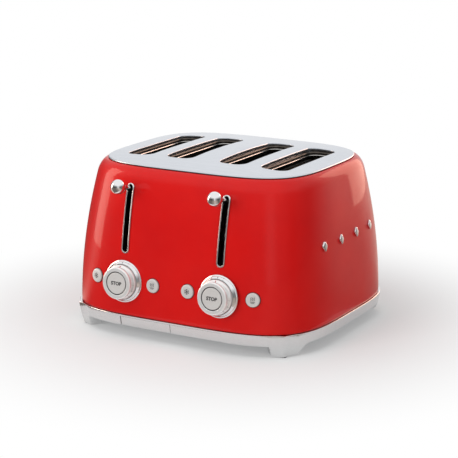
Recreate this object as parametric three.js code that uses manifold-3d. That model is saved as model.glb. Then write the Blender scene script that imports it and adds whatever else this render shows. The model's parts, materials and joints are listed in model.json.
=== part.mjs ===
// A four-slot pop-up toaster, in millimetres, +Z up. It stands on its four foot pads at z = 0.
// The front, with the levers and dials, faces -Y, and the two halves mirror each other in x.
// The origin is on the standing surface, under the middle of the overall box.
import * as THREE from "three";
import { mergeVertices } from "three/addons/utils/BufferGeometryUtils.js";
import Module from "manifold-3d";

const wasm = await Module();
wasm.setup();

// ---- Driving dimensions ----------------------------------------------------------------------
const GAP = 0.3; // between pieces that rest on each other
const RUN = 0.35; // round a piece that turns or slides

const CASE_WIDTH = 326; // painted casing at its lower edge
const CASE_DEPTH = 292;
const CASE_TOP_WIDTH = 288.4; // and at its upper edge, before the shoulder turns in
const CASE_TOP_DEPTH = 242;
const CASE_LOW_Z = 28;
const CASE_HIGH_Z = 200.9;
const CASE_LOW_POWER = 4.1; // of the superellipse that the plan follows
const CASE_HIGH_POWER = 3.8;
const TAPER_POWER = 2; // how late the walls lean in
const SHEET = 1.2; // casing wall
const SHOULDER_INSET = 7.2; // how far the shoulder turns in, and over what height
const SHOULDER_HEIGHT = 15;
const CASE_RIM = 8; // width of the flange that carries the top panel

const PANEL_SHEET = 1.4;
const PANEL_EDGE_Z = CASE_HIGH_Z + 2.2;
const PANEL_CROWN = 5.9; // rise of the dome from its edge
const SLOT_CENTRES = [-91.5, -36, 36, 91.5];
const SLOT_WIDTH = 36;
const SLOT_LENGTH = 138;
const SLOT_RADIUS = 12;
const SLOT_LIP = 1.2; // thickness of the turned-down lip
const SLOT_LIP_DEPTH = 6;

const RING_GROW = 2; // the base ring stands proud of the casing
const RING_LOW_Z = 14.3;
const RING_WALL = 3.4;
const RING_LEAN = 5.2; // how far the ring's face leans in down to the floor
const PROW_SPAN = 0.2; // half angle of the flat facets that meet at each foot's crease
const FOOT_LOW_Z = 0.9;
const FOOT_FRONT = [CASE_WIDTH / 2 - 34.3, CASE_WIDTH / 2 - 37.5]; // x of a foot's inner edge at the floor and at the ring
const FOOT_SIDE = [CASE_DEPTH / 2 - 34, CASE_DEPTH / 2 - 51]; // y of the same edges seen from the side
const PAD_SIZE = 8.4;
const PAD_HEIGHT = 3.4; // most of it is sunk in the foot
const FOOT_BLOCK = [CASE_WIDTH / 2 - 51, CASE_DEPTH / 2 - 60]; // inner corner of the solid part of a foot
const FLOOR_SHEET = 1.2;
const FLOOR_Z = 15;
const FLOOR_FRONT = CASE_DEPTH / 2 - 5.3; // how far the floor reaches under the tray fronts

const TRAY_HALF_RUN = 69; // the two tray fronts fill the ring's front out to this x
const TRAY_RECESS = 1.1; // their faces lie this far behind the ring's
const TRAY_LOW_Z = FLOOR_Z + FLOOR_SHEET + 0.4;
const TRAY_DEEP = 8;
const TRAY_BACK_Y = SLOT_LENGTH / 2 + 11;
const TRAY_SHEET = 0.9;
const LINTEL = 1.6; // strip of the ring left above the tray fronts

const CONTROL_X = 64.6; // levers and dials stand this far either side of the middle
const DIAL_Z = 68.8;
const BEZEL_RADIUS = 25.4;
const BEZEL_HEIGHT = 5.6;
const BEZEL_FLOOR = 2.2; // bottom of the well that the dial stands in
const SKIRT_RADIUS = 20.4;
const GRIP_RADIUS = 17.2;
const DIAL_RADIUS = 19.2;
const DIAL_HEIGHT = 17.4;
const HUB_RADIUS = 6.8;
const BUTTON_PITCH = 41;
const BUTTON_RADIUS = 8.2;
const BUTTON_HEIGHT = 2.5;
const PRESS = 2; // travel of every push button
const STOP_RADIUS = 12.8;
const BOARD_DEPTH = 18.4; // from the casing's face back to the control board
const BOARD_SHEET = 1.6;

const LEVER_STROKE = 70;
const BALL_RADIUS = 8.9;
const BALL_STANDOFF = 28.6; // from the casing's face to the ball's centre
const BALL_Z = 184;
const STEM_RADIUS = 2.8;
const STEM_TILT = THREE.MathUtils.degToRad(13);
const TRIM_WIDTH = 10.8;
const TRIM_BORE = 7;
const TRIM_Z = [101.6, 183.7];
const TRIM_PROUD = 1.5;

const CHASSIS_Y = SLOT_LENGTH / 2 + 5; // inner faces of the two upright chassis plates
const CHASSIS_SHEET = 1.2;
const CHASSIS_HALF_WIDTH = SLOT_CENTRES[3] + SLOT_WIDTH / 2 + 14.5;
const DECK_Z = 27.5; // top of the decks that carry the chassis
const DECK_FRONT = 36; // how far the decks reach past the chassis plates
const DECK_REAR = 26;
const WELL_PLATE_Z = CASE_HIGH_Z - 10.2;
const CARD_SHEET = 1;
const CARD_OFFSET = SLOT_WIDTH / 2 + 7.5; // from a slot's centre to the card on its open side
const CARD_Z = [50, WELL_PLATE_Z - 4.3];
const GUIDE_OFFSET = SLOT_WIDTH / 2 + 2.5; // from a slot's centre to each bread guide
const GUIDE_Z = [46, WELL_PLATE_Z - 6.3];
const GUIDE_SHEET = 1.6;
const RACK_Z = 122; // top of a bread rack with the lever up
const ROD_RADIUS = 3;
const ROD_Y = -CHASSIS_Y - 12;
const BRACKET_Y = -CHASSIS_Y - 8; // back face of the carriage bracket
const BRACKET_SHEET = 1.5;

const BADGE_Z = 120.5;
const BADGE_PITCH = 40.6;
const BADGE_SIZE = [9.6, 13.6];
const BADGE_PROUD = 3;

// ---- Materials -------------------------------------------------------------------------------
const material = (color, metalness, roughness) =>
  new THREE.MeshStandardMaterial({ color, metalness, roughness });
const RED_ENAMEL = material(0xc51512, 0.0, 0.18);
const BRUSHED_STEEL = material(0xc9ccd2, 1.0, 0.32);
const CHROME = material(0xe2e3e4, 1.0, 0.12);
const SATIN = material(0xd2cfcd, 0.8, 0.4);
const GALVANISED = material(0x9a9c9e, 1.0, 0.5);
const MICA = material(0x8a7560, 0.0, 0.7);
const BOARD = material(0x2c5a34, 0.0, 0.6);
const COPPER = material(0xa65a2a, 1.0, 0.4);
const SPRING_STEEL = material(0x77797c, 1.0, 0.35);
const RUBBER = material(0x1c1c1d, 0.0, 0.85);

// ---- Making solids ---------------------------------------------------------------------------
const WELD = 1e-3;

// A closed three.js geometry as a solid that can be joined and cut.
function solid(geometry) {
  const loose = geometry.index ? geometry.toNonIndexed() : geometry;
  const bare = new THREE.BufferGeometry().setAttribute("position", loose.getAttribute("position"));
  const welded = mergeVertices(bare, WELD);
  const corners = Array.from(welded.index.array);
  const triangles = [];
  for (let i = 0; i < corners.length; i += 3) {
    const [a, b, c] = corners.slice(i, i + 3);
    if (a !== b && b !== c && c !== a) triangles.push(a, b, c);
  }
  return new wasm.Manifold(
    new wasm.Mesh({
      numProp: 3,
      vertProperties: welded.getAttribute("position").array,
      triVerts: new Uint32Array(triangles),
    }),
  );
}

// A solid back as a three.js geometry.
function geometryOf(made) {
  const mesh = made.getMesh();
  const points = new Float32Array(mesh.numVert * 3);
  for (let i = 0; i < mesh.numVert; i++) {
    points.set(mesh.vertProperties.subarray(i * mesh.numProp, i * mesh.numProp + 3), i * 3);
  }
  return new THREE.BufferGeometry()
    .setAttribute("position", new THREE.BufferAttribute(points, 3))
    .setIndex(new THREE.BufferAttribute(mesh.triVerts, 1));
}

const union = (...solids) => solids.reduce((all, next) => all.add(next));

// A box from its lowest corner to its highest.
function box([x0, y0, z0], [x1, y1, z1]) {
  const geometry = new THREE.BoxGeometry(x1 - x0, y1 - y0, z1 - z0);
  return solid(geometry.translate((x0 + x1) / 2, (y0 + y1) / 2, (z0 + z1) / 2));
}

// A profile of [radius, height] points turned about Z.
function turned(profile, segments = 28) {
  const points = profile.map(([r, h]) => new THREE.Vector2(r, h));
  return solid(new THREE.LatheGeometry(points, segments).rotateX(Math.PI / 2));
}

// A closed profile that doesn't meet the axis, turned about Z.
const turnedRing = (profile, segments) => turned([...profile, profile[0]], segments);

// A round bar between two points.
function bar(from, to, radius, sides = 12) {
  const [start, end] = [new THREE.Vector3(...from), new THREE.Vector3(...to)];
  const along = end.clone().sub(start);
  const geometry = new THREE.CylinderGeometry(radius, radius, along.length(), sides);
  const turn = new THREE.Quaternion().setFromUnitVectors(
    new THREE.Vector3(0, 1, 0),
    along.normalize(),
  );
  geometry.applyQuaternion(turn);
  const middle = start.add(end).multiplyScalar(0.5);
  return solid(geometry.translate(middle.x, middle.y, middle.z));
}

// An outline in the XY plane, raised between two heights.
function raised(shape, low, high, curveSegments = 2) {
  const geometry = new THREE.ExtrudeGeometry(shape, {
    depth: high - low,
    bevelEnabled: false,
    curveSegments,
  });
  return solid(geometry.translate(0, 0, low));
}

// An outline drawn as (x, z), extruded from one y to another.
function alongY(shape, near, far, curveSegments = 2) {
  const geometry = new THREE.ExtrudeGeometry(shape, {
    depth: far - near,
    bevelEnabled: false,
    curveSegments,
  });
  return solid(geometry.rotateX(Math.PI / 2).translate(0, far, 0));
}

// An outline drawn as (y, z), extruded from one x to another.
function alongX(shape, near, far, curveSegments = 2) {
  const geometry = new THREE.ExtrudeGeometry(shape, {
    depth: far - near,
    bevelEnabled: false,
    curveSegments,
  });
  return solid(geometry.rotateX(Math.PI / 2).rotateZ(Math.PI / 2).translate(near, 0, 0));
}

function roundedRectangle(x, y, width, height, radius) {
  const [w, h] = [width / 2, height / 2];
  const shape = new THREE.Shape();
  shape.absarc(x + w - radius, y + h - radius, radius, 0, Math.PI / 2);
  shape.absarc(x - w + radius, y + h - radius, radius, Math.PI / 2, Math.PI);
  shape.absarc(x - w + radius, y - h + radius, radius, Math.PI, 1.5 * Math.PI);
  shape.absarc(x + w - radius, y - h + radius, radius, 1.5 * Math.PI, 2 * Math.PI);
  shape.closePath();
  return shape;
}

function polygon(points) {
  return new THREE.Shape(points.map(([x, y]) => new THREE.Vector2(x, y)));
}

// The matrix of a local frame whose +Z points out of the front of the casing.
function facing(origin, normal) {
  const turn = new THREE.Quaternion().setFromUnitVectors(new THREE.Vector3(0, -1, 0), normal);
  const upright = new THREE.Quaternion().setFromEuler(new THREE.Euler(Math.PI / 2, 0, 0));
  return new THREE.Matrix4().compose(origin, turn.multiply(upright), new THREE.Vector3(1, 1, 1));
}

const placed = (made, matrix) => made.transform(matrix.elements);

// ---- The casing's form -----------------------------------------------------------------------
const PLAN_SEGMENTS = 44;
const WALL_STEPS = 5;
const SHOULDER_TURNS = [0.6, 0.86, 1]; // shares of the shoulder's height at its facets

// Half width, half depth and power of the casing's plan at height z, grown outwards by grow.
function caseSize(z, grow = 0) {
  const share = THREE.MathUtils.clamp((z - CASE_LOW_Z) / (CASE_HIGH_Z - CASE_LOW_Z), 0, 1);
  const lean = share ** TAPER_POWER;
  const turn = THREE.MathUtils.clamp(1 - (CASE_HIGH_Z - z) / SHOULDER_HEIGHT, 0, 1);
  const shoulder = SHOULDER_INSET * (1 - Math.sqrt(1 - turn * turn));
  return {
    a: THREE.MathUtils.lerp(CASE_WIDTH, CASE_TOP_WIDTH, lean) / 2 - shoulder + grow,
    b: THREE.MathUtils.lerp(CASE_DEPTH, CASE_TOP_DEPTH, lean) / 2 - shoulder + grow,
    power: THREE.MathUtils.lerp(CASE_LOW_POWER, CASE_HIGH_POWER, share),
  };
}

// A superellipse's point at parameter t.
function planPoint(t, { a, b, power }) {
  const [c, s] = [Math.cos(t), Math.sin(t)];
  return [
    a * Math.sign(c) * Math.abs(c) ** (2 / power),
    b * Math.sign(s) * Math.abs(s) ** (2 / power),
  ];
}

// A profile of [share of the plan, height] points swept round a plan that changes with height.
function planSolid(profile, sizeAt, point = planPoint, segments = PLAN_SEGMENTS) {
  const points = profile.map(([share, z]) => new THREE.Vector2(share, z));
  const geometry = new THREE.LatheGeometry(points, segments).rotateX(Math.PI / 2);
  const position = geometry.getAttribute("position");
  for (let i = 0; i < position.count; i++) {
    const [x, y, z] = [position.getX(i), position.getY(i), position.getZ(i)];
    const share = Math.hypot(x, y);
    const [px, py] = point(Math.atan2(y, x), sizeAt(z));
    position.setXYZ(i, share * px, share * py, z);
  }
  return solid(geometry);
}

// The whole volume inside the casing's surface, grown by grow, between two heights.
function caseVolume(grow, low = CASE_LOW_Z, high = CASE_HIGH_Z) {
  const bend = CASE_HIGH_Z - SHOULDER_HEIGHT;
  const profile = [[0, low]];
  for (let i = 0; i <= WALL_STEPS; i++) {
    profile.push([1, THREE.MathUtils.lerp(low, bend, i / WALL_STEPS)]);
  }
  for (const turn of SHOULDER_TURNS) {
    profile.push([1, THREE.MathUtils.lerp(bend, high, turn)]);
  }
  profile.push([0, high]);
  return planSolid(profile, (z) => caseSize(z, grow));
}

// The casing's front surface: its y at (x, z), and its outward normal there.
function caseFront(x, z) {
  const { a, b, power } = caseSize(z);
  return -b * (1 - Math.abs(x / a) ** power) ** (1 / power);
}

function caseNormal(x, z, turnsWithPlan) {
  const step = 0.5;
  const slopeX = turnsWithPlan
    ? (caseFront(x + step, z) - caseFront(x - step, z)) / (2 * step)
    : 0;
  const slopeZ = (caseFront(x, z + step) - caseFront(x, z - step)) / (2 * step);
  return new THREE.Vector3(slopeX, -1, slopeZ).normalize();
}

// ---- Casing, top panel and well plate --------------------------------------------------------
// The stadium outline of a lever slot, drawn as (x, z).
function leverSlot(x, width, inset = 0) {
  const [low, high] = TRIM_Z;
  const height = high - low - 2 * inset;
  return roundedRectangle(x, (low + high) / 2, width, height, width / 2 - 0.01);
}

const SLEEVE_WIDTH = (TRIM_WIDTH + TRIM_BORE) / 2 - 0.3;
const trimInset = (width) => (TRIM_WIDTH - width) / 2;

const dialFrame = (side) => {
  const x = side * CONTROL_X;
  return facing(new THREE.Vector3(x, caseFront(x, DIAL_Z), DIAL_Z), caseNormal(x, DIAL_Z, false));
};
const buttonX = (side, offset) => side * (CONTROL_X + offset * BUTTON_PITCH);
const buttonFrame = (x) =>
  facing(new THREE.Vector3(x, caseFront(x, DIAL_Z), DIAL_Z), caseNormal(x, DIAL_Z, true));

const BEZEL_SLEEVE = HUB_RADIUS + RUN + 1.5;

function makeCaseShell() {
  const hollow = caseVolume(-SHEET, CASE_LOW_Z - 1, CASE_HIGH_Z - SHEET);
  const mouth = planSolid(
    [[0, CASE_HIGH_Z - 5], [1, CASE_HIGH_Z - 5], [1, CASE_HIGH_Z + 1], [0, CASE_HIGH_Z + 1]],
    () => caseSize(CASE_HIGH_Z, -CASE_RIM),
  );
  let shell = caseVolume(0).subtract(hollow).subtract(mouth);
  for (const side of [-1, 1]) {
    const width = SLEEVE_WIDTH + 2 * GAP;
    const slot = leverSlot(side * CONTROL_X, width, trimInset(width));
    shell = shell.subtract(alongY(slot, -CASE_DEPTH, 0));
    const hole = turned([[0, -9], [BEZEL_SLEEVE + GAP, -9], [BEZEL_SLEEVE + GAP, 9], [0, 9]], 20);
    shell = shell.subtract(placed(hole, dialFrame(side)));
    for (const offset of [-1, 1]) {
      const r = BUTTON_RADIUS + RUN;
      const cut = turned([[0, -9], [r, -9], [r, 9], [0, 9]], 20);
      shell = shell.subtract(placed(cut, buttonFrame(buttonX(side, offset))));
    }
  }
  return shell;
}

// The dome's height at a share of the way from its middle to its edge.
const domeZ = (share) => PANEL_EDGE_Z + PANEL_CROWN * (1 - share * share);

const DOME_SHARES = [0, 0.45, 0.75, 0.98];

function domeSolid(underside) {
  const rim = [
    [0.985, CASE_HIGH_Z + GAP], [0.998, CASE_HIGH_Z + GAP],
    [0.998, PANEL_EDGE_Z - 0.7], [0.992, PANEL_EDGE_Z],
  ];
  return planSolid(
    [...underside, ...rim, ...DOME_SHARES.toReversed().map((s) => [s, domeZ(s)])],
    () => caseSize(CASE_HIGH_Z),
  );
}

const slotOutline = (x, grow = 0) =>
  roundedRectangle(x, 0, SLOT_WIDTH + 2 * grow, SLOT_LENGTH + 2 * grow, SLOT_RADIUS + grow);

function makeTopPanel() {
  const lipZ = PANEL_EDGE_Z - SLOT_LIP_DEPTH + PANEL_CROWN / 2;
  const above = PANEL_EDGE_Z + 2 * PANEL_CROWN;
  let panel = domeSolid(DOME_SHARES.map((s) => [s, domeZ(s) - PANEL_SHEET]));
  const bulk = domeSolid([[0, lipZ], [0.9, lipZ]]);
  for (const x of SLOT_CENTRES) {
    panel = panel.add(raised(slotOutline(x, SLOT_LIP), lipZ, above).intersect(bulk));
  }
  for (const x of SLOT_CENTRES) {
    panel = panel.subtract(raised(slotOutline(x), lipZ - 5, above));
  }
  return panel;
}

function makeWellPlate() {
  const mouth = caseSize(CASE_HIGH_Z, -CASE_RIM - 0.7);
  const [a, b] = [mouth.a, mouth.b - 5];
  let plate = planSolid(
    [[0, WELL_PLATE_Z], [1, WELL_PLATE_Z], [1, WELL_PLATE_Z + SHEET], [0, WELL_PLATE_Z + SHEET]],
    () => ({ a, b, power: CASE_HIGH_POWER }),
    planPoint,
    32,
  );
  for (const x of SLOT_CENTRES) {
    const width = SLOT_WIDTH + 1;
    const length = SLOT_LENGTH + 1;
    plate = plate.subtract(
      box([x - width / 2, -length / 2, WELL_PLATE_Z - 1], [x + width / 2, length / 2, WELL_PLATE_Z + 4]),
    );
  }
  return plate;
}

// ---- Base ring, floor, feet and crumb trays --------------------------------------------------
// The ring's plan: the casing's, with two flat facets that meet in a crease at each corner.
function ringPoint(t, size) {
  const quarter = Math.PI / 2;
  const corner = Math.floor(t / quarter) * quarter + quarter / 2;
  const off = t - corner;
  if (Math.abs(off) >= PROW_SPAN) return planPoint(t, size);
  const [x, y] = planPoint(corner + Math.sign(off || 1) * PROW_SPAN, size);
  const [tipX, tipY] = prowTip(corner, size);
  const share = 1 - Math.abs(off) / PROW_SPAN;
  return [THREE.MathUtils.lerp(x, tipX, share), THREE.MathUtils.lerp(y, tipY, share)];
}

// Where the tangents at the two ends of a corner's facets meet.
function prowTip(corner, size) {
  const lines = [-1, 1].map((side) => {
    const [x, y] = planPoint(corner + side * PROW_SPAN, size);
    const nx = (Math.sign(x) * Math.abs(x / size.a) ** (size.power - 1)) / size.a;
    const ny = (Math.sign(y) * Math.abs(y / size.b) ** (size.power - 1)) / size.b;
    return { nx, ny, reach: nx * x + ny * y };
  });
  const [p, q] = lines;
  const det = p.nx * q.ny - q.nx * p.ny;
  return [(p.reach * q.ny - q.reach * p.ny) / det, (p.nx * q.reach - q.nx * p.reach) / det];
}

const RING_HIGH_Z = CASE_LOW_Z - GAP;

// The ring's outer volume, grown by grow and leaning in towards the floor.
function ringVolume(grow, low, high) {
  const sizeAt = (z) => {
    const down = (RING_HIGH_Z - THREE.MathUtils.clamp(z, 0, RING_HIGH_Z)) / RING_HIGH_Z;
    return caseSize(CASE_LOW_Z, RING_GROW + grow - RING_LEAN * down ** 1.4);
  };
  const middle = (low + high) / 2;
  const profile = [[0, low], [1, low], [1, middle], [1, high], [0, high]];
  return planSolid(profile, sizeAt, ringPoint, 80);
}

// The open arch between two feet, drawn as (across, z) for one view.
function archShape([floor, top]) {
  const shape = new THREE.Shape();
  shape.moveTo(-floor, -5);
  shape.lineTo(floor, -5);
  shape.lineTo(floor, FOOT_LOW_Z);
  shape.quadraticCurveTo(floor - 3, RING_LOW_Z, top, RING_LOW_Z);
  shape.lineTo(-top, RING_LOW_Z);
  shape.quadraticCurveTo(-floor + 3, RING_LOW_Z, -floor, FOOT_LOW_Z);
  shape.closePath();
  return shape;
}

// The outline of a foot's rubber pad, which is set into the foot from below.
function padShape(sx, sy, grow = 0) {
  const [x, y] = [FOOT_FRONT[0] + 1 + PAD_SIZE / 2, FOOT_SIDE[0] + 1 + PAD_SIZE / 2];
  return roundedRectangle(sx * x, sy * y, PAD_SIZE + 2 * grow, PAD_SIZE + 2 * grow, 2.4);
}

const GLAND_Z = (FLOOR_Z + FLOOR_SHEET + RING_HIGH_Z) / 2;
const GLAND_RADIUS = 5.2;
const GLAND_NECK = 4;
const trayFrontTop = RING_HIGH_Z - LINTEL;

function makeBaseRing() {
  const inner = planSolid(
    [[0, -1], [1, -1], [1, CASE_LOW_Z + 1], [0, CASE_LOW_Z + 1]],
    () => caseSize(CASE_LOW_Z, RING_GROW - RING_WALL),
  );
  const outer = ringVolume(0, FOOT_LOW_Z, RING_HIGH_Z);
  let ring = outer.subtract(inner);
  for (const sx of [-1, 1]) {
    for (const sy of [-1, 1]) {
      const [x, y] = FOOT_BLOCK;
      const block = box(
        [Math.min(sx * x, sx * 180), Math.min(sy * y, sy * 180), FOOT_LOW_Z],
        [Math.max(sx * x, sx * 180), Math.max(sy * y, sy * 180), RING_LOW_Z],
      );
      ring = ring.add(block.intersect(outer));
    }
  }
  ring = ring.subtract(alongY(archShape(FOOT_FRONT), -200, 200));
  ring = ring.subtract(alongX(archShape(FOOT_SIDE), -200, 200));
  const run = TRAY_HALF_RUN + GAP;
  ring = ring.subtract(box([-run, -200, 0], [run, -100, trayFrontTop]));
  for (const sx of [-1, 1]) {
    for (const sy of [-1, 1]) ring = ring.subtract(raised(padShape(sx, sy, GAP), 0, PAD_HEIGHT + GAP, 1));
  }
  const bore = bar([0, 100, GLAND_Z], [0, 200, GLAND_Z], GLAND_NECK + GAP);
  return ring.subtract(bore);
}

function makeBottomPlate() {
  const wallX = TRAY_HALF_RUN + 1;
  const deckLow = DECK_Z - 1.5;
  const [front, back] = [-CHASSIS_Y - DECK_FRONT, CHASSIS_Y + DECK_REAR];
  const floorTop = FLOOR_Z + FLOOR_SHEET;
  let plate = planSolid(
    [[0, FLOOR_Z], [1, FLOOR_Z], [1, floorTop], [0, floorTop]],
    () => caseSize(CASE_LOW_Z, RING_GROW - RING_WALL - GAP),
  );
  plate = plate.subtract(box([-wallX, -200, 0], [wallX, -FLOOR_FRONT, 50]));
  for (const side of [-1, 1]) {
    const [inner, outer] = [side * wallX, side * (wallX + 2)];
    plate = plate.add(
      box([Math.min(inner, outer), front, floorTop - 0.5], [Math.max(inner, outer), back, DECK_Z]),
    );
    const wing = [[wallX + 1, 25], [118, 42], [118, 43.5], [wallX + 1, 26.8]];
    const shape = polygon(wing.map(([x, z]) => [side * x, z]));
    plate = plate.add(alongY(shape, -CHASSIS_Y + 0.6, CHASSIS_Y - 0.6));
  }
  const half = CHASSIS_HALF_WIDTH;
  const decks = [[front, -CHASSIS_Y + 0.3], [CHASSIS_Y - 0.3, back]];
  for (const [near, far] of decks) {
    plate = plate.add(box([-half, near, deckLow], [half, far, DECK_Z]));
  }
  return plate;
}

const makeFootPad = (sx, sy) => raised(padShape(sx, sy), 0, PAD_HEIGHT, 1);

function makeCrumbTray(side) {
  const [inner, outer] = [GAP, TRAY_HALF_RUN];
  const high = trayFrontTop - GAP;
  const low = RING_LOW_Z + 0.1;
  const slab = (grow) => ringVolume(grow, low, high);
  const window = box([inner, -200, low - 1], [outer, -100, high + 1]);
  const face = slab(-TRAY_RECESS).subtract(slab(-TRAY_RECESS - 2.4)).intersect(window);
  const ringInside = CASE_DEPTH / 2 + RING_GROW - RING_WALL;
  const frontY = -ringInside - 0.4;
  const top = TRAY_LOW_Z + TRAY_DEEP;
  const pan = box([inner + 0.4, frontY, TRAY_LOW_Z], [outer - 0.4, TRAY_BACK_Y, top]);
  const inset = TRAY_SHEET + 0.4;
  const hollow = box(
    [inner + inset, frontY + 3.5, TRAY_LOW_Z + TRAY_SHEET],
    [outer - inset, TRAY_BACK_Y - TRAY_SHEET, top + 1],
  );
  const tray = face.add(pan.subtract(hollow));
  return side > 0 ? tray : tray.mirror([1, 0, 0]);
}

function makeCordGland() {
  const wallY = CASE_DEPTH / 2 + RING_GROW;
  const inside = wallY - RING_WALL - 2;
  const [bore, neck, r] = [2.8, GLAND_NECK, GLAND_RADIUS];
  const profile = [
    [bore, 0], [r, 0], [r, 1.2], [neck, 1.8], [neck, 6.2], [r, 6.2], [r - 0.8, 9.4], [bore, 9.4],
  ];
  return turnedRing(profile, 20).rotate([-90, 0, 0]).translate([0, inside - 0.6, GLAND_Z]);
}

// ---- Lever trims, dials and buttons ----------------------------------------------------------
function makeLeverTrim(side) {
  const x = side * CONTROL_X;
  const cut = (width, near = -CASE_DEPTH, far = 0) =>
    alongY(leverSlot(x, width, trimInset(width)), near, far);
  const proud = caseVolume(TRIM_PROUD);
  const flange = cut(TRIM_WIDTH).intersect(proud.subtract(caseVolume(GAP)));
  const sleeve = cut(SLEEVE_WIDTH).intersect(proud.subtract(caseVolume(-4)));
  return flange.add(sleeve).subtract(cut(TRIM_BORE));
}

function makeDialBezel(side) {
  const r = BEZEL_RADIUS;
  const bore = HUB_RADIUS + RUN;
  const lip = SKIRT_RADIUS + 0.6;
  const flange = placed(
    turnedRing(
      [
        [bore, -3], [r, -3], [r, 1.6], [lip + 0.6, BEZEL_HEIGHT], [lip, BEZEL_HEIGHT],
        [lip, BEZEL_FLOOR], [bore, BEZEL_FLOOR],
      ],
      24,
    ),
    dialFrame(side),
  ).subtract(caseVolume(GAP));
  const sleeve = turnedRing(
    [[bore, -6], [BEZEL_SLEEVE, -6], [BEZEL_SLEEVE, BEZEL_FLOOR], [bore, BEZEL_FLOOR]],
    20,
  );
  return flange.add(placed(sleeve, dialFrame(side)));
}

const HUB_BACK = -12;
const STOP_RECESS = DIAL_HEIGHT - 6;

function makeDial(side) {
  const h = DIAL_HEIGHT;
  const bore = 3.6;
  const profile = [
    [bore, HUB_BACK], [HUB_RADIUS, HUB_BACK], [HUB_RADIUS, 2.6], [SKIRT_RADIUS, 2.6],
    [SKIRT_RADIUS, 8.2], [GRIP_RADIUS, 9.6], [GRIP_RADIUS, h - 5], [DIAL_RADIUS, h - 3.6],
    [DIAL_RADIUS, h - 1], [DIAL_RADIUS - 1.4, h], [STOP_RADIUS + 1.4, h],
    [STOP_RADIUS + 0.6, h - 1.4], [STOP_RADIUS + 0.6, STOP_RECESS], [bore, STOP_RECESS],
  ];
  return placed(turnedRing(profile, 24), dialFrame(side));
}

function makeStopButton(side) {
  const top = DIAL_HEIGHT - 0.3;
  const r = STOP_RADIUS;
  const profile = [
    [0, HUB_BACK - 2], [3.25, HUB_BACK - 2], [3.25, top - 3], [r, top - 3], [r, top - 0.7],
    [r - 0.6, top - 0.1], [0, top],
  ];
  return placed(turned(profile, 20), dialFrame(side));
}

const SWITCH_HEIGHT = 3;

function makeFunctionButton(x) {
  const room = Math.abs(caseFront(x, DIAL_Z)) - Math.abs(caseFront(CONTROL_X, DIAL_Z)) + BOARD_DEPTH;
  const back = -(room - SWITCH_HEIGHT - PRESS - 1.2);
  const r = BUTTON_RADIUS;
  const flange = -SHEET - 1.8;
  const profile = [
    [0, back], [3, back], [3, flange - 1], [r + 1.1, flange - 1], [r + 1.1, flange], [r, flange],
    [r, BUTTON_HEIGHT - 0.8], [r - 0.8, BUTTON_HEIGHT - 0.1], [0, BUTTON_HEIGHT],
  ];
  return placed(turned(profile, 18), buttonFrame(x));
}

// The circuit board behind one dial, with its rotary switch, its push switches and its standoffs.
function makeControlBoard(side) {
  const front = -BOARD_DEPTH;
  const pieces = [box([-49, -15, front - BOARD_SHEET], [49, 16, front])];
  const ring = HUB_RADIUS + 0.5;
  pieces.push(turnedRing([[ring, front - 0.5], [ring + 4, front - 0.5], [ring + 4, -11], [ring, -11]], 20));
  pieces.push(box([-3, -3, front - 0.5], [3, 3, HUB_BACK - 2 - PRESS - 0.5]));
  for (const offset of [-1, 1]) {
    const x = offset * BUTTON_PITCH;
    pieces.push(box([x - 3, -3, front - 0.5], [x + 3, 3, front + SWITCH_HEIGHT]));
    for (const y of [-12, 13]) {
      pieces.push(bar([offset * 20, y, front - 0.5], [offset * 20, y, 5], 2.5, 8));
    }
  }
  return placed(union(...pieces), dialFrame(side)).intersect(caseVolume(-SHEET - 2 * GAP));
}

// ---- Lever, carriage and bread racks ---------------------------------------------------------
const BALL_Y = caseFront(CONTROL_X, BALL_Z) - BALL_STANDOFF;
const STEM_BACK_Y = ROD_Y - ROD_RADIUS - 1.6;
const stemZ = (y) => BALL_Z - (y - BALL_Y) * Math.tan(STEM_TILT);

// Ball, flared neck and stem, turned about the stem's tilted axis.
function makeLeverKnob(side) {
  const length = (STEM_BACK_Y - BALL_Y) / Math.cos(STEM_TILT);
  const profile = [
    [0, -length], [STEM_RADIUS, -length], [STEM_RADIUS, -12.9], [3.7, -10.8], [5.6, -8.2], [7.2, -5.2],
  ];
  const steps = 7;
  const start = -Math.asin(5.2 / BALL_RADIUS) + 0.12;
  for (let i = 0; i < steps; i++) {
    const angle = THREE.MathUtils.lerp(start, Math.PI / 2, i / steps);
    profile.push([BALL_RADIUS * Math.cos(angle), BALL_RADIUS * Math.sin(angle)]);
  }
  profile.push([0, BALL_RADIUS]);
  const outward = new THREE.Vector3(0, -Math.cos(STEM_TILT), Math.sin(STEM_TILT));
  return placed(turned(profile, 18), facing(new THREE.Vector3(side * CONTROL_X, BALL_Y, BALL_Z), outward));
}

const SLIDER_HALF_WIDTH = 8;
const SLIDER_FRONT_Y = ROD_Y - 9;
const SLIDER_Z = [stemZ(SLIDER_FRONT_Y) - 13, stemZ(SLIDER_FRONT_Y) + 12];
const RACK_BAR = 5; // height of a rack's spine
const SPRING_OFFSET = 21;
const MAGNET_OFFSET = -22;
const TAB_SHEET = 2;
const MAGNET_TAB_Z = RACK_Z - 2;
const SPRING_TAB_Z = RACK_Z + 7;

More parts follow.
